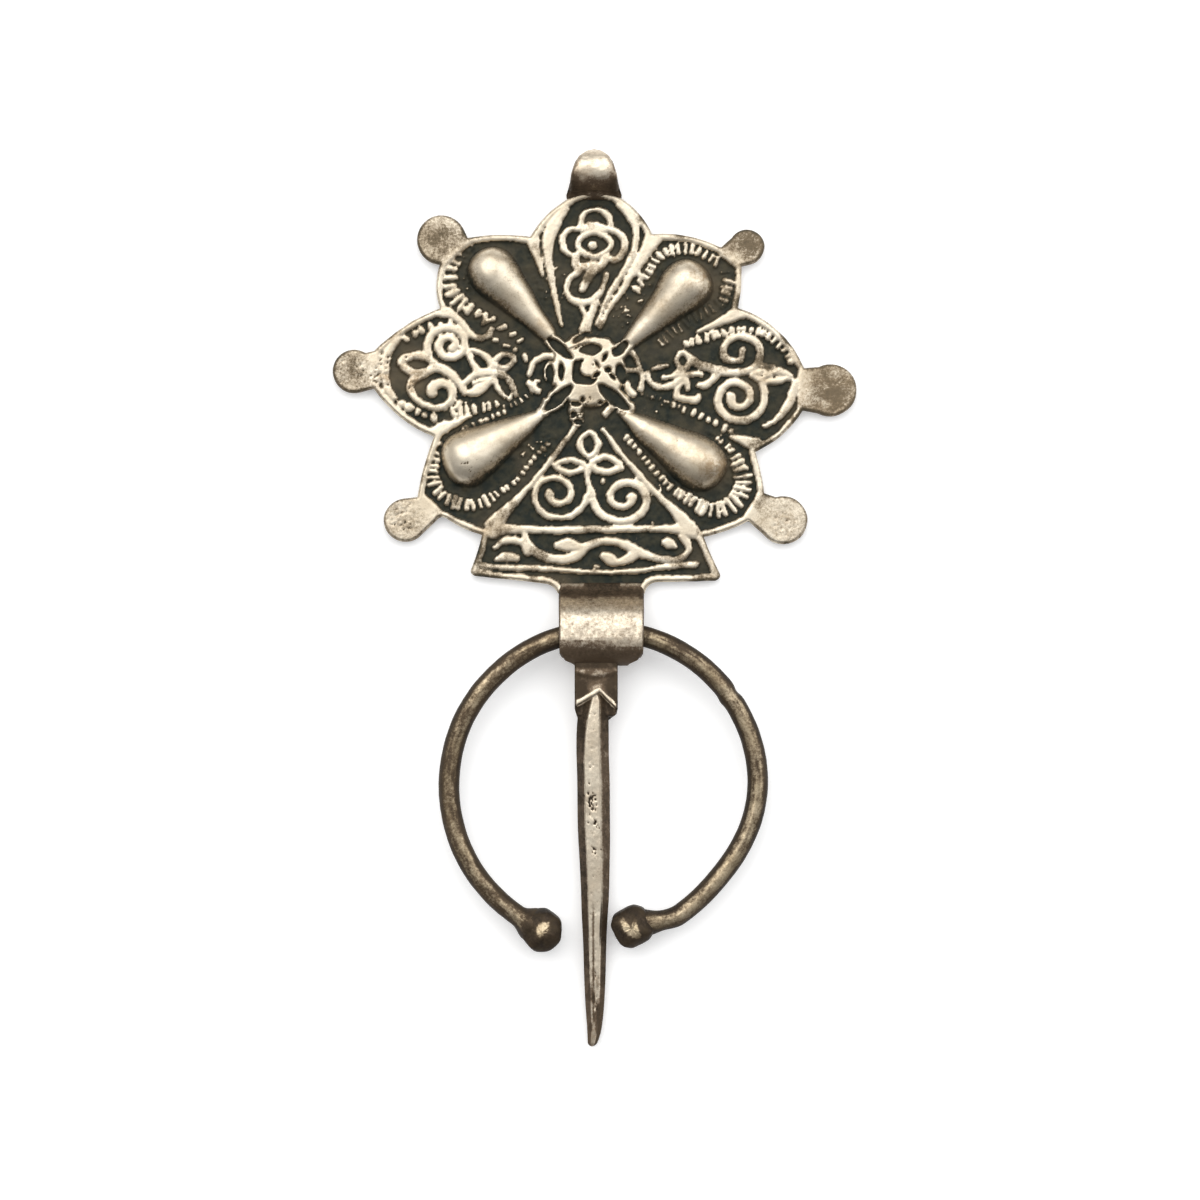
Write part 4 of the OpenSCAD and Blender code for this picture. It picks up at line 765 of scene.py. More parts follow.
    # The centre boss: a low mound with arms, and its hollows
    cx, cy = BOSS_CENTRE
    mound = np.maximum(strokes([drawn(rows) for rows in BOSS_ARMS]) - 0.05,
                       np.minimum(BOSS_R - 0.25 - np.hypot(X - cx, Y - cy), 1.2)) + 2 * ragged
    wall = smoothstep(-0.25, 0.5, mound)
    far = np.clip(np.hypot(X - cx, Y - cy) / 9.0, 0, 1)
    crest = BOSS_TOP - 0.55 * far ** 2 + 0.07 * noise(X, Y, 2.3, 21) + 0.04 * noise(X, Y, 0.9, 22)
    boss = FIELD_Z + (crest - FIELD_Z) * wall
    cut = np.full(X.shape, -1.0)
    for row in BOSS_CUTS + WORN:
        c, s = math.cos(math.radians(row[4])), math.sin(math.radians(row[4]))
        u, v = ((WX - row[0]) * c + (WY - row[1]) * s) / row[2], ((WY - row[1]) * c - (WX - row[0]) * s) / row[3]
        bend = np.sqrt(u * u + (v / np.maximum(1 - 0.25 * np.abs(u), 0.5)) ** 2)
        cut = np.maximum(cut, (1 - bend) * row[3])
    ex, ey = WX - EYE_CENTRE[0], WY - EYE_CENTRE[1]
    square = (np.abs(ex) ** 3 + np.abs(ey) ** 3) ** (1 / 3)
    ring = np.minimum(EYE_R[1] - square, np.hypot(ex - 0.1, ey - 0.4) - EYE_R[0])
    worn_side = smoothstep(-0.3, 0.9, ex + 0.35 * ey + 0.5 * noise(X, Y, 0.6, 23))
    cut = np.maximum(cut, ring - 0.75 * worn_side * (ey > -1.0))
    hollow = smoothstep(-0.14, 0.16, cut + 0.7 * ragged)
    boss -= BOSS_CUT_D * hollow * (1.35 - 0.35 * far)
    on_boss = (boss > z) & (mound > -0.25)
    on_dark = np.maximum(0.97 * smoothstep(0.3, 0.85, hollow), 0.9 * smoothstep(0.7, 0.2, wall))
    taken = smoothstep(-0.15, 0.1, mound) * smoothstep(0.2, 0.7, hollow) * (z < BOSS_TOP)
    dark = np.where(on_boss, on_dark, np.maximum(dark, 0.95 * taken))
    z = np.where(on_boss, boss, z - (z - FIELD_Z) * taken * (z < BOSS_TOP - 0.2))

    # Pits, and the rounded edge
    pits = []
    for x, y, r, count, depth in PITS:
        for _ in range(count):
            a, d = rng.uniform(0, 2 * math.pi), r * math.sqrt(rng.uniform(0, 1))
            pits.append((x + d * math.cos(a), y + d * math.sin(a), rng.uniform(0.1, 0.26),
                rng.uniform(0.4, 1.1) * depth))
    for _ in range(900):
        pits.append((rng.uniform(-39, 39), rng.uniform(-1, 59), rng.uniform(0.08, 0.16), rng.uniform(0.02, 0.07)))
    holes = sheet.dots(rng, pits)
    z -= holes * (1 - 0.7 * floor)
    dark = np.maximum(dark, smoothstep(0.05, 0.18, holes) * 0.75)
    hollows = sheet.blurred(np.where(edge > 0, z, 0), 0.5) - z
    dark = np.maximum(dark, smoothstep(0.12, 0.5, hollows) * 0.8)
    # A thin dull line follows the plate's outer edge: partly patina, partly painted shade
    dark = np.clip(dark, 0, 1) + 0.34 * smoothstep(0.62, 0.1, edge) * (0.7 + 0.5 * noise(X, Y, 1.6, 24))
    stain = 0.4 * beside * floor * smoothstep(-0.6, 0.6, noise(X, Y, 2.6, 26))
    for x, y, r, brown, dull in STAINS:
        near = np.exp(-((X - x) ** 2 + (Y - y) ** 2) / (r * r))
        stain += brown * near
        dark += dull * near * (1 - 0.5 * floor)
    tab = smoothstep(0.1, -1.2, lobes)
    dark += tab * (0.16 + 0.08 * noise(X, Y, 1.5, 25))
    # The rim and the lines are duller in places
    dull_lines = smoothstep(-0.1, 0.9, noise(X, Y, 4.2, 27) + 0.5 * noise(X, Y, 1.3, 28)) * (1 - floor) * (1 - tab)
    dark += dull_lines * np.where(on_boss | (z > PLATE_T + 0.6), 0.12, 0.42)
    return z, np.clip(dark, 0, 1), stain, edge


def make_plate(material):
    sheet = Sheet(-40.2, 40.2, -2.6, 60.6, STEP)
    z, dark, stain, edge = plate_relief(sheet)
    gy, gx = np.gradient(edge, STEP)
    near = edge > -0.5 * STEP
    cell = near[:-1, :-1] & near[1:, :-1] & near[:-1, 1:] & near[1:, 1:]
    count = np.zeros(edge.shape, int)
    for j, i in ((0, 0), (1, 0), (0, 1), (1, 1)):
        count[j:j + cell.shape[0], i:i + cell.shape[1]] += cell
    used, border = count > 0, (count > 0) & (count < 4)
    size = np.maximum(gx * gx + gy * gy, 0.2)
    X, Y = sheet.X.copy(), sheet.Y.copy()
    shift = np.where(border, edge, 0) / size
    X -= gx * shift
    Y -= gy * shift
    inset = np.where(border, 0, np.maximum(edge, 0))
    r = 0.38
    lip = PLATE_T - r + np.sqrt(np.maximum(r * r - np.maximum(r - inset, 0) ** 2, 0))
    z = np.where(inset < r, np.minimum(z, lip + np.maximum(z - PLATE_T, 0) * smoothstep(0, r, inset)), z)
    index = np.full(edge.shape, -1)
    index[used] = np.arange(used.sum())
    c = np.argwhere(cell)
    front = np.stack([index[c[:, 0], c[:, 1]], index[c[:, 0], c[:, 1] + 1],
                      index[c[:, 0] + 1, c[:, 1] + 1], index[c[:, 0] + 1, c[:, 1]]], 1)
    points = np.stack([X[used], Y[used], z[used]], 1)
    dark, stain = dark[used], stain[used]
    # Border edges, each once, with the metal on their left
    e = np.concatenate([front[:, [0, 1]], front[:, [1, 2]], front[:, [2, 3]], front[:, [3, 0]]])
    key = e.min(1).astype(np.int64) * len(points) + e.max(1)
    _, first, times = np.unique(key, return_index=True, return_counts=True)
    rim = e[first[times == 1]]
    # The wall: the border's points again at lower levels, drawn in at the bottom
    ids = np.unique(rim)
    inward = np.stack([gx[used][ids], gy[used][ids]], 1)
    inward /= np.maximum(np.hypot(inward[:, 0], inward[:, 1])[:, None], 1e-6)
    place = np.full(len(points), -1)
    place[ids] = np.arange(len(ids))
    faces, base = [front], len(points)
    parts, darks, stains = [points], [dark], [stain]
    levels = [(0.9, 0.0), (0.3, 0.02), (0.06, 0.12), (0.0, 0.35)]
    for n, (level, pull) in enumerate(levels):
        p = points[ids].copy()
        p[:, :2] += inward * pull
        p[:, 2] = level
        parts.append(p)
        darks.append(np.full(len(ids), 0.62) + 0.2 * noise(p[:, 0], p[:, 1], 2.2, 21))
        stains.append(stain[ids] + 0.25)
        a, b = rim[:, 0], rim[:, 1]
        up_a = a if n == 0 else base + (n - 1) * len(ids) + place[a]
        up_b = b if n == 0 else base + (n - 1) * len(ids) + place[b]
        low_a, low_b = base + n * len(ids) + place[a], base + n * len(ids) + place[b]
        faces.append(np.stack([up_a, low_a, low_b, up_b], 1))
    obj = make_object("plate_relief", np.concatenate(parts), np.concatenate(faces), "brooch", material, "cast_silver",
                      patina=np.concatenate(darks), stain=np.concatenate(stains))
    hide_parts("plate_and_pin")


def make_back(material):
    """The plate's plain back, slightly uneven, just inside the wall's foot."""
    sheet = Sheet(-40.2, 40.2, -2.6, 60.6, 0.6)
    edge = sheet.distance(outline_of(OUTLINE)) - 0.12
    gy, gx = np.gradient(edge, 0.6)
    near = edge > -0.3
    cell = near[:-1, :-1] & near[1:, :-1] & near[:-1, 1:] & near[1:, 1:]
    count = np.zeros(edge.shape, int)
    for j, i in ((0, 0), (1, 0), (0, 1), (1, 1)):
        count[j:j + cell.shape[0], i:i + cell.shape[1]] += cell
    used, border = count > 0, (count > 0) & (count < 4)
    shift = np.where(border, edge, 0) / np.maximum(gx * gx + gy * gy, 0.3)
    X, Y = sheet.X - gx * shift, sheet.Y - gy * shift
    z = 0.03 + 0.06 * (noise(X, Y, 5.0, 31) + 1) * smoothstep(0.3, 2.0, edge) + 0.02 * (noise(X, Y, 1.5, 32) + 1)
    index = np.full(edge.shape, -1)
    index[used] = np.arange(used.sum())
    c = np.argwhere(cell)
    back = np.stack([index[c[:, 0], c[:, 1]], index[c[:, 0] + 1, c[:, 1]],
                     index[c[:, 0] + 1, c[:, 1] + 1], index[c[:, 0], c[:, 1] + 1]], 1)
    dark = 0.28 + 0.3 * noise(X, Y, 7.0, 33) + 0.2 * noise(X, Y, 1.8, 34)
    obj = make_object("plate_back", np.stack([X[used], Y[used], z[used]], 1), back, "brooch", material, "cast_silver",
                      patina=dark[used], stain=(0.2 + 0.3 * noise(X, Y, 6.0, 35))[used])
    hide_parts("plate_and_pin")


# Sleeve and bail: a body round a hole, whose ends are drawn in by a plan

def reach_of(polygon, centre, angles):
    """How far a closed outline reaches from centre, in each direction."""
    p = np.asarray(polygon) - centre
    q = np.roll(p, -1, axis=0)
    c, s = np.cos(angles)[:, None], np.sin(angles)[:, None]
    ax, ay, bx, by = p[:, 0], p[:, 1], q[:, 0], q[:, 1]
    den = c * (by - ay) - s * (bx - ax)
    den = np.where(np.abs(den) < 1e-9, 1e-9, den)
    r = (ax * (by - ay) - ay * (bx - ax)) / den
    u = (ax * s - ay * c) / den
    ok = (r > 0) & (u >= -1e-6) & (u <= 1 + 1e-6)
    return np.where(ok, r, 0).max(1)


def make_lug(name, centre, outer, half_of, bore_r, columns, round_r, material, shade):
    """outer is the outline across the hole, as y and z; half_of gives the half length at a y."""
    n = 224
    angles = np.linspace(0, 2 * math.pi, n, endpoint=False)
    r = reach_of(outer, np.array([centre[1], centre[2]]), angles)
    y, z = centre[1] + r * np.cos(angles), centre[2] + r * np.sin(angles)
    ty, tz = np.roll(y, -1) - np.roll(y, 1), np.roll(z, -1) - np.roll(z, 1)
    size = np.hypot(ty, tz)
    ny, nz = -tz / size, ty / size          # inwards
    half = half_of(y)
    points, inner = [], []
    u = np.sin(np.linspace(-1, 1, columns) * math.pi / 2) * 0.35 + np.linspace(-1, 1, columns) * 0.65
    for k in u:
        from_end = (1 - abs(k)) * half
        inset = round_r - np.sqrt(np.maximum(round_r ** 2 - np.maximum(round_r - from_end, 0) ** 2, 0))
        x = centre[0] + k * half
        bump = 0.045 * noise(x, r * angles, 1.5, 41) + 0.02 * noise(x, r * angles, 0.5, 42) - 0.04
        d = inset - bump
        points.append(np.stack([x, y + ny * d, np.maximum(z + nz * d, 0.0)], 1))
    by, bz = centre[1] + bore_r * np.cos(angles), centre[2] + bore_r * np.sin(angles)
    mid_half = half_of(by)
    caps_low, caps_high = [], []
    for sign, store in ((-1, caps_low), (1, caps_high)):
        e = points[0] if sign < 0 else points[-1]
        for t in (0.35, 0.8):
            ring = e * (1 - t) + np.stack([centre[0] + sign * mid_half, by, bz], 1) * t
            store.append(ring)
        for t in (0.0, 0.12, 0.6):
            flare = 0.1 * max(0.0, 1 - t / 0.12)
            store.append(np.stack([centre[0] + sign * (mid_half - t), centre[1] + (bore_r + flare) * np.cos(angles),
                                   centre[2] + (bore_r + flare) * np.sin(angles)], 1))
    loops = caps_low[::-1] + points + caps_high
    verts = np.concatenate(loops)
    faces = wrap_faces(len(loops), n, flip=True)
    # The hole's wall between the two innermost loops
    last = (len(loops) - 1) * n
    j = np.arange(n)
    k = (j + 1) % n
    faces = np.concatenate([faces, np.stack([last + j, j, k, last + k], 1)[:, ::-1]])
    x, yy, zz = verts.T
    in_bore = np.hypot(yy - centre[1], zz - centre[2]) < bore_r + 0.3
    patina, stain = shade(x, yy, zz)
    patina = np.where(in_bore, 0.85, patina)
    obj = make_object(name, verts, faces, "brooch", material, "cast_silver", patina=patina, stain=stain)
    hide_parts("plate_and_pin")


def make_sleeve(material):
    cx, cy, cz = SLEEVE
    circle = [[cy + SLEEVE_R * math.cos(t), cz + SLEEVE_R * math.sin(t)] for t in np.linspace(math.pi / 2,
        1.5 * math.pi, 60)]
    ramp = smooth([[0.3, PLATE_T - 0.35], [-0.3, PLATE_T - 0.05], [-1.0, PLATE_T + 0.6], [-2.4, 5.4],
                   [cy + 1.02 * SLEEVE_R, 1.68 * SLEEVE_R], [cy + 0.78 * SLEEVE_R, 1.86 * SLEEVE_R],
                   [cy + 0.5 * SLEEVE_R, 1.95 * SLEEVE_R],
                   [cy + 0.2 * SLEEVE_R, 1.985 * SLEEVE_R]], 6).tolist()
    outer = ramp + circle + [[0.3, 0.0]]
    low = cy - SLEEVE_R
    heights = [-0.5, 0.15, 0.7, 1.9, 1 - low]
    insets = [2.6, 2.1, 0.9, 0.2, 0.0]

    def half_of(y):
        return SLEEVE_LEN / 2 - np.interp(y - low, heights, insets)

    def shade(x, y, z):
        # Painted shade: the lower side, below a sharp line, is darker and browner, and the crest a little lighter as a
        # faint painted highlight. It is also darker towards the plate and at its ends.
        crest = smoothstep(cy + 4.9, cy + 3.7, y + 0.15 * noise(x, y, 1.4, 43))
        under = smoothstep(cy - 0.7, cy - 3.9, y + 0.25 * noise(x, y, 1.6, 44) + 0.1 * noise(x, y, 0.5, 42))
        step = 0.95 * smoothstep(1.2, 2.4, x - cx)
        line = smoothstep(-0.32, -0.46, y - cy + step + 0.04 * noise(x, y, 1.2, 45))
        ramp_dark = smoothstep(cy + 5.5, cy + 6.3, y + 0.3 * noise(x, y, 0.9, 46))
        p = 0.3 - 0.05 * crest + 0.21 * line + 0.6 * under * line + 0.5 * ramp_dark + 0.1 * noise(x, y, 0.4, 47)
        p = np.maximum(p, smoothstep(0.45, 0.05, half_of(y) - np.abs(x - cx)) * 0.6)
        p = np.maximum(p, smoothstep(-0.7, 0.2, y) * 0.9)
        p = np.where((z > cz - 1) | (y > cy + SLEEVE_R), p, 0.6 + 0.25 * noise(x, y, 2.0, 48))
        for x0, x1, y0, y1 in SCRAPS:
            inside = np.minimum(np.minimum(x - x0, x1 - x), np.minimum(y - y0, y1 - y)) + 0.2 * noise(x, y, 0.8, 50)
            p = p * (1 - 0.75 * smoothstep(-0.1, 0.25, inside))
        return p, 0.05 + 1.2 * under + 0.2 * (1 - crest) + 0.1 * noise(x, y, 2.0, 49)

    make_lug("sleeve_tube", SLEEVE, outer, half_of, SLEEVE_BORE_R, 96, 0.4, material, shade)


def make_bail(material):
    cx, cy, cz = BAIL
    circle = [[cy + BAIL_R * math.cos(t), cz + BAIL_R * math.sin(t)] for t in np.linspace(-0.5 * math.pi,
        1.02 * math.pi, 70)]
    outer = circle + [[cy - 2.95, 2.45], [BAIL_ROOT + 0.6, 1.9], [BAIL_ROOT, 1.6], [BAIL_ROOT, 0.0]]
    tall = cy + BAIL_R - BAIL_ROOT
    levels = [row[1] for row in BAIL_SHAPE]
    widths = [row[0] for row in BAIL_SHAPE]

    def half_of(y):
        return BAIL_W / 2 * np.interp((y - BAIL_ROOT) / tall, levels, widths)

    def shade(x, y, z):
        # Painted shade on the bail's south side, next to the plate, darker and browner there; it is also darker towards
        # its ends and low down.
        south_shade = smoothstep(cy - 0.3, cy - 2.6, y + 0.3 * noise(x, y, 1.0, 51))
        side = smoothstep(0.5, 0.95, np.abs(x - cx) / half_of(y))
        p = 0.04 + 0.6 * south_shade + 0.4 * side + 0.16 * noise(x, y, 0.8, 52)
        return np.where(z > 1.5, p, 0.6), 0.25 + 0.3 * south_shade

    make_lug("bail_loop", BAIL, outer, half_of, BAIL_BORE_R, 56, 0.7, material, shade)


# The pin: a front and a back over the same plan, with sides between them

def make_pin(material):
    rng = np.random.default_rng(61)
    top_y = -11.4
    y = np.concatenate([np.arange(top_y, -21.0, -0.13), np.arange(-21.0, PIN_TIP_Y + 0.7, -0.2),
                        PIN_TIP_Y + 0.66 * (1 - np.sin(np.linspace(0, math.pi / 2, 9)))])
    share = np.clip((RIDGE_Y - y) / (RIDGE_Y - PIN_TIP_Y), 0, 1)
    shaft = smooth(SHAFT, 6)
    size = np.interp(share, shaft[:, 0], shaft[:, 1])
    centre = np.interp(share, shaft[:, 0], shaft[:, 2]) * PIN_W
    middle = 4.0 - 3.0 * np.clip((RIDGE_Y - y) / (RIDGE_Y - PIN_TIP_Y), 0, 1)
    end = np.sqrt(np.maximum(1 - np.clip((PIN_TIP_Y + 0.66 - y) / 0.66, 0, 1) ** 2, 0.003))
    half_x, half_z = size * PIN_W / 2 * end, size * PIN_T / 2 * (0.25 + 0.75 * end)
    half_x = half_x + 0.025 * noise(y, 0 * y, 5.3, 62) * end - 0.02 * end
    centre = centre + 0.05 * noise(y, 0 * y + 9, 5.0, 63)
    left, right = 1.1 - 0.62 * 6.4, 1.1 + 0.38 * 6.4
    head_l = np.interp(y, [-20.25, -18.55, top_y], [-2.37, left, left])
    head_r = np.interp(y, [-20.15, -19.35, -18.55, top_y], [2.33, right - 0.2, right, right])
    on_head = y > -20.15
    x_l = np.where(on_head, np.minimum(centre - half_x, head_l), centre - half_x)
    x_r = np.where(on_head, np.maximum(centre + half_x, head_r), centre + half_x)
    n = 46
    s = np.linspace(0, 1, n)
    X = x_l[:, None] + (x_r - x_l)[:, None] * s[None]
    Y = np.repeat(y[:, None], n, 1)
    # The front facet starts in a point under the ridge, and its left edge swings out
    fl = np.interp(share, [0, 0.02, 0.06, 0.12, 0.2, 0.4, 0.7, 1], [0.0, 0.12, 0.25, 0.4, 0.5, 0.5, 0.46, 0.3])[:, None]
    fr = np.interp(share, [0, 0.03, 0.1, 0.3, 0.6, 1], [0.02, 0.3, 0.36, 0.36, 0.42, 0.3])[:, None]
    rel = (X - centre[:, None]) / np.maximum(half_x, 0.02)[:, None]
    drop_l = np.clip((-rel - fl) / (1 - fl), 0, 1.2)
    drop_r = np.clip((rel - fr) / (1 - fr), 0, 1.2)
    fall = np.maximum(drop_l, drop_r)
    out = (np.abs(rel) > 1.02) & on_head[:, None]
    shaft_z = middle[:, None] + half_z[:, None] * (1 - 0.72 * fall - 0.05 * smoothstep(0, 0.15, fall))
    shaft_z = np.where(out, 0, shaft_z)
    under = middle[:, None] - half_z[:, None] * (1 - 0.7 * np.clip((np.abs(rel) - 0.46) / 0.54, 0, 1))
    apex_x = left + 0.58 * 6.4
    arm = np.where(X < apex_x, 1.92 / (apex_x - left - 0.4), 2.24 / (right - 0.4 - apex_x)) * np.abs(X - apex_x)
    v_line = RIDGE_Y - 0.38 - arm
    above = smoothstep(-0.1, 0.12, Y - v_line)
    ridge = smoothstep(0.62, 0.2, np.abs(Y - v_line - 0.3 + 0.12 * noise(X, Y, 0.9, 60)) * 0.72) * smoothstep(0.0, 0.45,
        X - left) * smoothstep(0.0, 0.45, right - X)
    # Over the ridge lies a shallow hollow, under a lighter arch by the sleeve
    arch = smoothstep(-14.25, -13.3, Y - 0.75 * ((X - 0.33) / 3.2) ** 2 + 0.15 * noise(X, Y, 1.0, 59))
    flank = smoothstep(2.2, 3.1, np.abs(X - 0.33))
    hollow = 0.32 * (1 - arch) * (1 - 0.7 * flank)
    block = 4.72 * smoothstep(-20.2, -19.5, Y) * (Y > -20.2)
    head_z = np.maximum(block, (6.0 - hollow) * above + 0.28 * ridge * (Y > -20))
    head_z = np.where(on_head[:, None], np.maximum(head_z, 2.4), 0)
    edge_in = np.minimum(X - x_l[:, None], x_r[:, None] - X)
    lip = 0.3
    round_off = lip - np.sqrt(np.maximum(lip ** 2 - np.maximum(lip - edge_in, 0) ** 2, 0))
    top = np.maximum(head_z - round_off * on_head[:, None], shaft_z)
    top += 0.03 * noise(X, Y, 1.1, 64) + 0.015 * noise(X, Y, 0.4, 65)
    pits = []
    for x, yy, r, count, depth in ((-0.4, -32.0, 1.6, 42, 0.2), (0.2, -35.8, 1.2, 16, 0.16),
        (0.1, -39.4, 0.9, 12, 0.18),
                                   (0.2, -62.5, 1.1, 14, 0.14), (0.3, -58.0, 1.0, 8, 0.12),
                                   (-0.2, -26.5, 1.4, 10, 0.08)):
        for _ in range(count):
            pits.append((x + rng.normal(0, 0.5) * r * 0.7, yy + rng.normal(0, 0.55) * r, rng.uniform(0.1, 0.24),
                         depth * rng.uniform(0.3, 1)))
    for _ in range(220):
        pits.append((rng.uniform(-2.4, 3.4), rng.uniform(-68, -12), rng.uniform(0.08, 0.18), rng.uniform(0.03, 0.1)))
    holes = np.zeros(X.shape)
    for x, yy, r, h in pits:
        near = np.abs(y - yy) < 2.2 * r
        holes[near] += h * np.exp(-1.6 * ((X[near] - x) ** 2 * 1.3 + (Y[near] - yy) ** 2) / (r * r))
    grooves = 0
    for gx, lo, hi in ((-0.22, -66.0, -46.0), (0.5, -67.0, -60.0)):
        run = smoothstep(lo, lo + 3, Y) * smoothstep(hi, hi - 4, Y)
        grooves = grooves + run * np.exp(-((X - centre[:, None] - gx) / 0.2) ** 2)
    top -= holes + 0.1 * grooves
    low = np.where(on_head[:, None], np.minimum(np.where(Y > -20.0, 2.0 + round_off, 9), under), under)
    low = np.minimum(low, top - 0.05)
    low = np.maximum(low, 0.02)
    side = 4
    rows = []
    for i in range(len(y)):
        a = np.stack([X[i], Y[i], top[i]], 1)
        b = np.stack([X[i, ::-1], Y[i], low[i, ::-1]], 1)
        t = (np.arange(1, side + 1) / (side + 1))[:, None]
        rows.append(np.concatenate([a, a[-1] * (1 - t) + b[0] * t, b, b[-1] * (1 - t) + a[0] * t]))
    cols = len(rows[0])
    verts = np.concatenate(rows)
    faces = wrap_faces(len(y), cols)
    caps = []
    for i, turn in ((0, False), (len(y) - 1, True)):
        j = np.arange(n - 1)
        f = np.stack([i * cols + j, i * cols + j + 1, i * cols + 2 * n + side - 2 - j, i * cols + 2 * n + side - 1 - j],
            1)
        caps.append(f if turn else f[:, ::-1])
    faces = np.concatenate([faces] + caps)
    # How dark: facets beside the front one, the hollow, pits and the flanks
    high = smoothstep(-26, -17, Y)
    low_end = smoothstep(-44, -60, Y)
    facet_dark = (0.8 + 0.12 * high) * smoothstep(0.0, 0.2,
        drop_l) + (0.66 + 0.3 * high + 0.28 * low_end) * smoothstep(0.0, 0.4, drop_r)
    streaks = noise(X * 4, Y, 1.6, 58) + 0.5 * noise(X * 3, Y, 0.6, 57)
    facet_dark = -0.02 - 0.07 * low_end + 0.1 * streaks + np.minimum(facet_dark, 0.95)
    on_block = (Y > v_line)
    middle_light = smoothstep(2.1, 0.2, np.abs(X - 0.5)) * smoothstep(-12.8, -14.6, Y) * smoothstep(-18.6, -16.0, Y)
    # Towards the sleeve the arch darkens: a painted shadow of the sleeve.
    head_dark = (1.0 - 0.56 * middle_light) * (1 - arch) + (0.5 + 0.5 * smoothstep(-12.9, -12.1, Y) + 0.15 * noise(X, Y,
        0.5, 56)) * arch
    head_dark = head_dark * (1 - 0.95 * smoothstep(0.35, 0.8, ridge)) + 0.25 * noise(X, Y, 0.8, 66)
    dark = np.where(on_block & on_head[:, None], head_dark, facet_dark + 0.12 * noise(X, Y, 0.9, 67))
    dark = dark * (1 - 0.9 * smoothstep(0.4, 0.9, ridge))
    dark = np.maximum(dark, smoothstep(0.04, 0.12, holes))
    dark = np.maximum(dark, 0.62 * grooves)
    tip = smoothstep(-54, -64, Y)
    dark = dark + 0.55 * tip * smoothstep(-0.15, 0.4, noise(X * 1.6, Y * 0.6, 0.9, 68))
    brown = 0.15 + 0.5 * tip + 0.3 * smoothstep(-19, -14, Y) + 0.15 * smoothstep(0.0, 0.3, fall)
    dark_all, stain_all = [], []
    for i in range(len(y)):
        wall = np.full(side, 0.85)
        dark_all.append(np.concatenate([dark[i], wall, np.full(n, 0.6), wall]))
        stain_all.append(np.concatenate([brown[i], wall * 0.5, np.full(n, 0.4), wall * 0.5]))
    obj = make_object("pin_shaft", verts, faces, "brooch", material, "cast_silver",
                      patina=np.clip(np.concatenate(dark_all), 0, 1), stain=np.concatenate(stain_all))
    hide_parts("plate_and_pin")


# The ring: hammered wire with a knob on each end

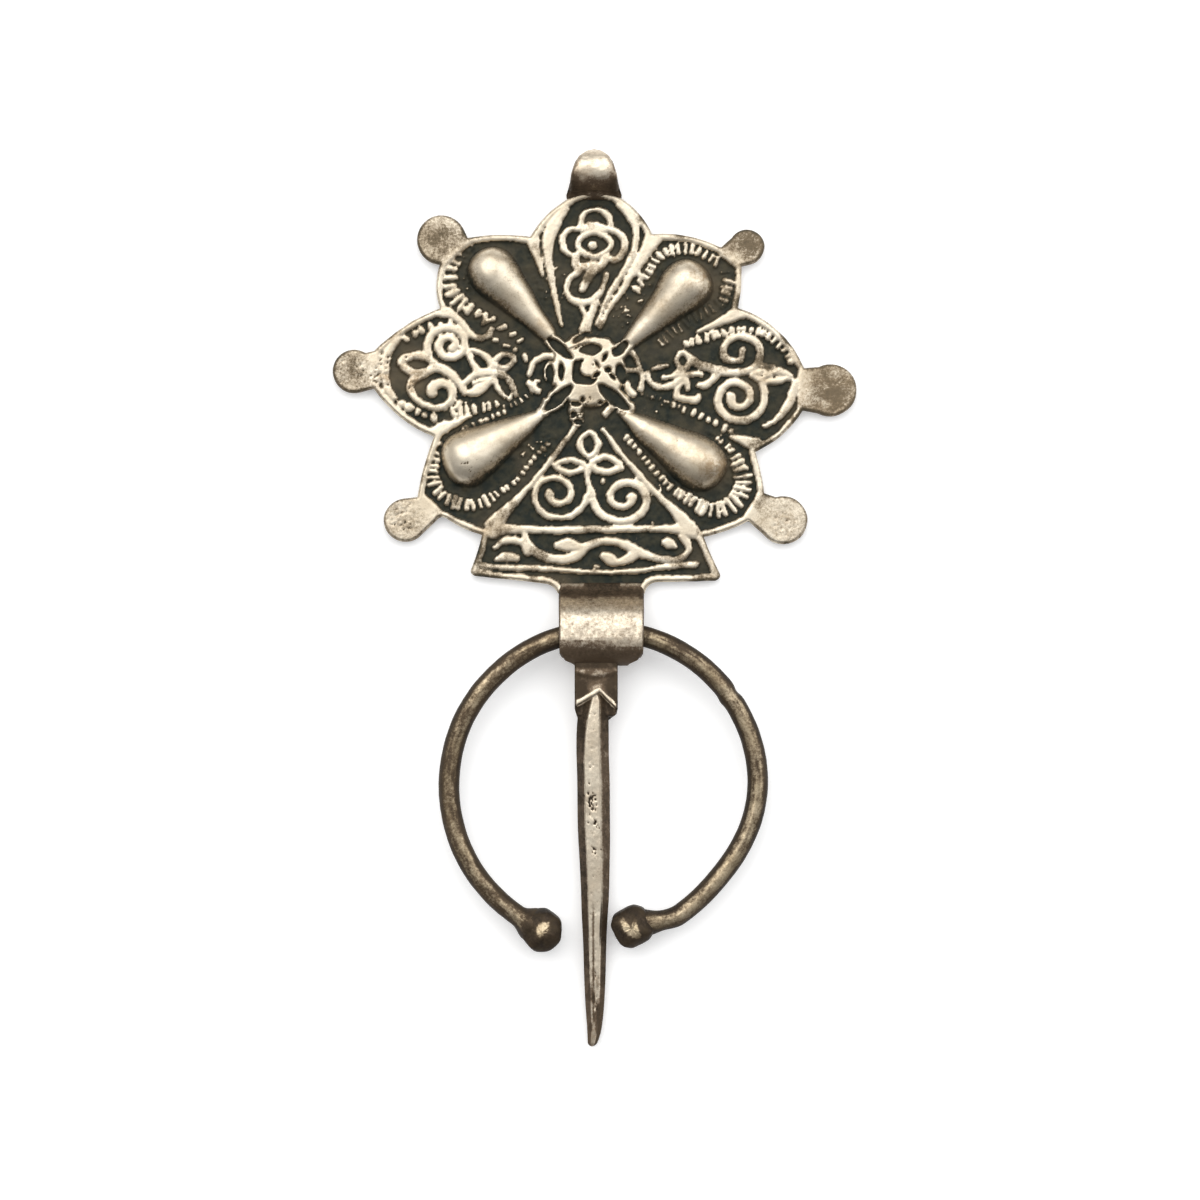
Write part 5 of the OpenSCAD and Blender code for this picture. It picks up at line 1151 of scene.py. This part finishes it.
def make_ring(material):
    half = SLEEVE_LEN / 2
    rise = 1.08 * (RING_R - math.sqrt(RING_R ** 2 - half ** 2))
    ring_x = 1.1 + 0.3
    cut_x = 0.425 * PIN_W + 0.25 + 0.58 * CUT_KNOB_W
    cut_at = RING_R - 1.2
    cut_angle = math.asin((cut_x - ring_x) / cut_at)
    knob_at, knob_angle = RING_R + 0.8, math.radians(22.7)
    tilt = math.asin((SLEEVE_R - KNOB_R) / (knob_at * math.cos(knob_angle) + RING_R - rise))
    start, end = cut_angle - math.pi / 2, 1.5 * math.pi - knob_angle

    def place(p):
        x, y, z = p[:, 0] + ring_x, p[:, 1] + rise - RING_R, p[:, 2]
        c, s = math.cos(tilt), math.sin(tilt)
        return np.stack([x, y * c - z * s + SLEEVE[1], np.maximum(y * s + z * c + SLEEVE[2], 0.01)], 1)

    n, m = 460, 40
    phi = np.linspace(start, end, n)[:, None]
    a = np.linspace(0, 2 * math.pi, m, endpoint=False)[None]
    run, girth = phi * RING_R, a * WIRE_R
    kink = np.exp(-((phi - math.radians(35.5)) / 0.035) ** 2)
    r = WIRE_R * (0.965 + 0.015 * noise(run, girth, 2.6, 71) + 0.01 * noise(run, girth, 0.9,
        72)) - 0.12 * kink * np.maximum(np.cos(a - 0.4), 0)
    flat = 0.05 * smoothstep(0.2, 0.7, noise(run, 0 * run, 4.5, 73)) * smoothstep(0.8, 1.0, np.sin(a))
    r = r - flat
    path = RING_R - 0.16 * kink + 0.05 * noise(run, 0 * run, 9.0, 74) - 0.15 * np.exp(-((phi - math.pi) / 0.5) ** 2)
    # It is a little flat at the lower right
    path = path - 1.15 * np.exp(-((phi + 0.72) / 0.5) ** 2)
    # The wire swells into its knobs
    from_cut, from_round = (phi - start) * RING_R, (end - phi) * RING_R
    r = r + 0.5 * smoothstep(5.4, 2.4, from_cut) ** 1.4 + 1.0 * smoothstep(4.6, 2.0, from_round) ** 1.4
    path = path - 1.5 * smoothstep(8.0, 1.5, from_cut) + 0.1 * smoothstep(6.0, 0.5, from_round)
    rho = path + r * np.cos(a)
    wire = np.stack([rho * np.cos(phi), rho * np.sin(phi), r * np.sin(a) + 0 * phi], -1).reshape(-1, 3)
    # Dark sides and underside with a lighter, streaky top: partly wear and patina, partly painted shade on the sides
    # and painted highlights along the top.
    streak = noise(run / 7, girth, 0.4, 75) + 0.6 * noise(run / 5, girth, 0.22, 78)
    west = smoothstep(0.3, -0.7, np.cos(phi))
    across = np.abs(np.cos(a)) + 0.05 * noise(run, girth, 1.2, 79)
    dark = 1.0 - (0.6 - 0.06 * west) * smoothstep(0.86, 0.46,
        across) * (np.sin(a) > 0) * (1 + 0.36 * streak + 0.12 * noise(run, girth, 1.6, 76))
    south_east = np.exp(-((phi + 0.85) / 0.5) ** 2) * smoothstep(0.7, 0.2, np.abs(np.cos(a) - 0.15)) * (np.sin(a) > 0)
    dark = np.clip(dark - 0.25 * kink * (np.cos(a) > 0) - 0.22 * south_east, 0, 1)
    brown = 0.4 + 0.25 * noise(run, girth, 5.0, 77) + 0.2 * west
    dark = np.minimum(dark + 0.3 * smoothstep(4.6, 1.8, from_cut) + 0.4 * smoothstep(4.2, 1.6, from_round), 1)
    # Painted shade where the wire runs under the sleeve.
    near_sleeve = np.abs(phi - math.pi / 2) < 0.3
    dark = np.where(near_sleeve, np.maximum(dark, 0.55), dark)
    parts, faces = [wire], [wrap_faces(n, m, flip=True)]
    darks, stains = [(dark + 0 * phi).ravel()], [(brown + 0 * phi).ravel()]

    def knob(middle, planes, power, radius, seed, turn, lights):
        rows, cols = 60, 84
        t = np.linspace(0.001, math.pi - 0.001, rows)[:, None]
        p = np.linspace(0, 2 * math.pi, cols, endpoint=False)[None]
        d = np.stack([np.sin(t) * np.cos(p), np.sin(t) * np.sin(p), np.cos(t) + 0 * p], -1)
        total = 0
        for nx, ny, nz, far in planes:
            total = total + np.maximum(d @ np.array([nx, ny, nz]) / far, 0) ** power
        r = np.minimum(total ** (-1 / power), radius)
        r = r * (0.98 + 0.012 * noise(p * 3, t * 3, 0.8, seed) + 0.006 * noise(p * 3, t * 3, 0.3, seed + 1))
        q = d * r[..., None]
        c, s = math.cos(turn), math.sin(turn)
        q = np.stack([q[..., 0] * c - q[..., 1] * s, q[..., 0] * s + q[..., 1] * c, q[..., 2]], -1).reshape(-1, 3)
        shown = np.stack([d[..., 0] * c - d[..., 1] * s, d[..., 0] * s + d[..., 1] * c], -1)
        # Painted highlights: lighter spots on the knob's facets, mottled by noise, and a soft painted highlight near
        # its middle.
        highlight = 0
        for lx, ly, wide, tall, lean in lights:
            u, v = shown[..., 0] - lx, shown[..., 1] - ly
            u, v = u * math.cos(lean) + v * math.sin(lean), v * math.cos(lean) - u * math.sin(lean)
            highlight = highlight + np.exp(-(u / wide) ** 2 - (v / tall) ** 2) * (d[..., 2] > 0)
        highlight = highlight + 0.22 * noise(p * 3, t * 3, 0.5, seed + 2) + 0.1 * noise(p * 3, t * 3, 0.2, seed + 3)
        soft_highlight = np.exp(-((shown[..., 0] + 0.1) / 0.62) ** 2 - ((shown[..., 1] - 0.12) / 0.55) ** 2) * (d[..., 2] > 0)
        base = sum(len(v) for v in parts)
        parts.append(q + middle)
        faces.append(wrap_faces(rows, cols) + base)
        darks.append((1.0 - 0.3 * soft_highlight - 0.62 * smoothstep(0.12, 1.0, highlight)).ravel())
        stains.append(0.35 + 0.3 * noise(p * 3, t * 3, 1.2, seed + 4).ravel())

    cube = [(1, 0, 0), (-1, 0, 0), (0, 1, 0), (0, -1, 0), (0, 0, 1), (0, 0, -1)]
    k = math.sqrt(0.5)
    edges = [(i * k, j * k, 0) for i in (1, -1) for j in (1, -1)] + [(i * k, 0, j * k) for i in (1, -1) for j in (1,
        -1)]
    edges += [(0, i * k, j * k) for i in (1, -1) for j in (1, -1)]
    w = CUT_KNOB_W / 2
    knob(np.array([cut_x - ring_x, -cut_at * math.cos(cut_angle) + 0.55, 0]),
         [(*v, 1.02 * w) for v in cube] + [(*v, 1.12 * w) for v in edges] + [(0.36, 0.3, 0.88, 0.97 * w)], 14, 9, 80,
         math.radians(28),
         [(-0.33, 0.1, 0.22, 0.42, 0.5), (0.17, 0.0, 0.16, 0.4, 0.1), (0.1, -0.3, 0.34, 0.18, -0.4)])
    rk = KNOB_R
    flats = [(0.1, 0.35, 0.93, 0.93 * rk), (-0.5, 0, 0.86, 0.95 * rk), (0.2, -0.6, 0.77, 0.94 * rk), (0, 0, -1, rk),
        (0, 0, 1, rk),
             (1, 0, 0, 0.93 * rk), (0.7, -0.7, 0, 0.95 * rk), (0, -1, 0, rk), (-0.75, -0.66, 0, 0.93 * rk),
             (-0.35, 0.94, 0, 1.1 * rk),
             (0.6, 0.8, 0, rk), (-1, 0.2, 0, rk)]
    knob(np.array([0.12 - knob_at * math.sin(knob_angle), 0.42 - knob_at * math.cos(knob_angle), 0]), flats, 12,
        1.12 * rk, 90, 0,
         [(0.14, 0.3, 0.24, 0.36, -0.5), (-0.12, 0.1, 0.16, 0.34, 0)])
    obj = make_object("ring_wire", place(np.concatenate(parts)), np.concatenate(faces), "ring", material, "ring_silver",
                      patina=np.clip(np.concatenate(darks), 0, 1), stain=np.concatenate(stains))
    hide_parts("ring")


# Materials

class Graph:
    """Short calls for the nodes of one material."""

    def __init__(self, tree):
        self.tree = tree

    def node(self, kind, *links, **values):
        n = self.tree.nodes.new(kind)
        for key, v in values.items():
            if hasattr(n, key):
                setattr(n, key, v)
            else:
                n.inputs[key.replace("_", " ")].default_value = v
        for name, socket in links:
            if isinstance(socket, (int, float)):
                n.inputs[name].default_value = socket
            else:
                self.tree.links.new(socket, n.inputs[name])
        return n

    def math(self, operation, a, b=0.0, c=None):
        links = [(0, a), (1, b)] + ([(2, c)] if c is not None else [])
        return self.node("ShaderNodeMath", *links, operation=operation).outputs[0]

    def ramp(self, v, low, high, to_low=0.0, to_high=1.0):
        n = self.node("ShaderNodeMapRange", (0, v), clamp=True)
        for i, x in enumerate((low, high, to_low, to_high)):
            n.inputs[i + 1].default_value = x
        return n.outputs[0]

    def mix(self, factor, a, b):
        n = self.node("ShaderNodeMix", data_type="RGBA")
        for i, v in ((0, factor), (6, a), (7, b)):
            if isinstance(v, tuple):
                n.inputs[i].default_value = (*v, 1)
            elif isinstance(v, (int, float)):
                n.inputs[i].default_value = v
            else:
                self.tree.links.new(v, n.inputs[i])
        return n.outputs[2]

    def noise(self, where, scale, detail=3.0, roughness=0.55):
        return self.node("ShaderNodeTexNoise", ("Vector", where), Scale=scale, Detail=detail,
            Roughness=roughness).outputs["Fac"]


def aged_silver(name, clean, warm, brown, dark, olive, shine, low_patina, high_patina, mottle, gloss):
    """Silver under a patina, with painted shade and highlights, that a point value drives, broken up by noise. Noise
    scales are per metre.
    """
    material = bpy.data.materials.new(name)
    material.use_nodes = True
    tree = material.node_tree
    g = Graph(tree)
    shader = tree.nodes["Principled BSDF"]
    where = g.node("ShaderNodeTexCoord").outputs["Object"]
    patina = g.node("ShaderNodeAttribute", attribute_name="patina").outputs["Fac"]
    stain = g.node("ShaderNodeAttribute", attribute_name="stain").outputs["Fac"]
    broad, blotch = g.noise(where, 160, 2.0), g.noise(where, 750, 3.0)
    speck, grain = g.noise(where, 2600, 2.0, 0.7), g.noise(where, 7000, 2.0, 0.6)
    amount = g.math("ADD", patina, g.math("MULTIPLY", g.math("SUBTRACT", blotch, 0.5), mottle))
    amount = g.math("ADD", amount, g.math("MULTIPLY", g.math("SUBTRACT", speck, 0.5), 0.6))
    amount = g.math("ADD", amount, g.math("MULTIPLY", g.math("SUBTRACT", grain, 0.5), 0.3))
    cover = g.ramp(amount, low_patina, high_patina)
    tone = g.mix(g.ramp(broad, 0.35, 0.65), clean, warm)
    tone = g.mix(g.ramp(grain, 0.45, 0.8, 0.0, 0.35), tone, brown)
    marks = g.math("MULTIPLY", stain, g.ramp(g.math("ADD", blotch, g.math("MULTIPLY", speck, 0.6)), 0.62, 0.98))
    tone = g.mix(g.math("MINIMUM", marks, 0.85), tone, brown)
    half = tuple(0.5 * a + 0.5 * b for a, b in zip(brown, olive))
    deep = g.mix(g.ramp(blotch, 0.4, 0.66), dark, olive)
    deep = g.mix(g.math("MINIMUM", g.math("MULTIPLY", stain, 0.5), 0.6), deep, half)
    tone = g.mix(g.ramp(cover, 0.0, 0.55), tone, half)
    colour = g.mix(g.ramp(cover, 0.35, 0.95), tone, deep)
    tree.links.new(colour, shader.inputs["Base Color"])
    tree.links.new(g.ramp(cover, 0.2, 1.0, 1.0, 0.3), shader.inputs["Metallic"])
    tree.links.new(g.ramp(cover, 0.5, 1.0, 0.5, gloss), shader.inputs["Specular IOR Level"])
    rough = g.math("ADD", g.ramp(cover, 0.0, 1.0, shine, 0.6),
        g.math("MULTIPLY", g.math("SUBTRACT", blotch, 0.5), 0.25))
    tree.links.new(rough, shader.inputs["Roughness"])
    height = g.math("ADD", g.math("MULTIPLY", blotch, 0.4), g.math("MULTIPLY", speck, 0.35))
    height = g.math("ADD", height, g.math("MULTIPLY", grain, 0.16))
    bump = g.node("ShaderNodeBump", ("Height", height), Strength=0.55, Distance=0.0001)
    tree.links.new(bump.outputs["Normal"], shader.inputs["Normal"])
    return material


def plain(name, colour, roughness):
    material = bpy.data.materials.new(name)
    material.use_nodes = True
    shader = material.node_tree.nodes["Principled BSDF"]
    shader.inputs["Base Color"].default_value = (*colour, 1)
    shader.inputs["Roughness"].default_value = roughness
    shader.inputs["Specular IOR Level"].default_value = 0.2
    shader.inputs["Emission Color"].default_value = (1, 1, 1, 1)
    shader.inputs["Emission Strength"].default_value = 0.25
    return material


def make_stage():
    """Pale floor, soft studio light from above and behind, and the camera."""
    scene = bpy.context.scene
    mesh = bpy.data.meshes.new("floor")
    s = 6.0
    mesh.from_pydata([(-s, -s, 0), (s, -s, 0), (s, s, 0), (-s, s, 0)], [], [(0, 1, 2, 3)])
    mesh.materials.append(plain("pale_floor", (0.92, 0.92, 0.92), 0.8))
    floor = bpy.data.objects.new("floor", mesh)
    bpy.context.collection.objects.link(floor)
    floor.location.z = -0.0002

    def area(name, place, size, power, colour=(1, 1, 1)):
        data = bpy.data.lights.new(name, "AREA")
        data.shape, data.size, data.size_y = "RECTANGLE", size[0], size[1]
        data.energy, data.color = power, colour
        obj = bpy.data.objects.new(name, data)
        bpy.context.collection.objects.link(obj)
        obj.location = place
        x, y, z = place
        obj.rotation_euler = (math.atan2(math.hypot(x, y), z), 0, math.atan2(y, x) + math.pi / 2)
        return obj

    area("key", (-0.28, 0.6, 0.95), (1.3, 1.1), 6.6, (1.0, 0.985, 0.96))
    area("fill", (0.8, 0.35, 0.6), (0.9, 0.9), 3.0, (0.97, 0.985, 1.0))

    world = bpy.data.worlds.new("studio")
    world.use_nodes = True
    scene.world = world
    g = Graph(world.node_tree)
    background = world.node_tree.nodes["Background"]
    direction = g.node("ShaderNodeTexCoord").outputs["Generated"]
    parts = g.node("ShaderNodeSeparateXYZ", (0, direction))
    lift = g.ramp(parts.outputs[2], 0.0, 0.8, 0.34, 1.3)
    north = g.ramp(parts.outputs[1], -0.7, 0.4, 0.28, 1.0)
    strength = g.math("MULTIPLY", lift, north)
    background.inputs["Color"].default_value = (1, 1, 1, 1)
    world.node_tree.links.new(strength, background.inputs["Strength"])

    camera = bpy.data.cameras.new("camera")
    camera.lens, camera.sensor_width = 100.65, 36
    camera.clip_start = 0.01
    obj = bpy.data.objects.new("camera", camera)
    bpy.context.collection.objects.link(obj)
    elevation, distance = math.radians(89), 0.5
    target = (0.00079, -0.00037, 0.003)
    obj.location = (target[0], target[1] - distance * math.cos(elevation), target[2] + distance * math.sin(elevation))
    obj.rotation_euler = (math.pi / 2 - elevation, 0, 0)
    scene.camera = obj
    scene.view_settings.view_transform = "Standard"


plate_silver = aged_silver("aged_silver", (0.76, 0.685, 0.555), (0.60, 0.52, 0.395), (0.33, 0.235, 0.14),
    (0.015, 0.019, 0.015),
                           (0.042, 0.04, 0.026), 0.4, 0.14, 0.82, 0.4, 0.18)
worn_silver = aged_silver("worn_silver", (0.76, 0.685, 0.555), (0.64, 0.555, 0.43), (0.3, 0.205, 0.13),
    (0.009, 0.007, 0.004),
                          (0.027, 0.02, 0.012), 0.36, 0.1, 0.95, 0.2, 0.13)
wire_silver = aged_silver("tarnished_silver", (0.60, 0.50, 0.35), (0.42, 0.34, 0.22), (0.15, 0.10, 0.058),
    (0.009, 0.006, 0.004),
                          (0.034, 0.024, 0.013), 0.3, 0.16, 0.95, 0.26, 0.2)
make_plate(plate_silver)
make_back(plate_silver)
make_sleeve(worn_silver)
make_bail(worn_silver)
make_pin(worn_silver)
make_ring(wire_silver)
make_stage()
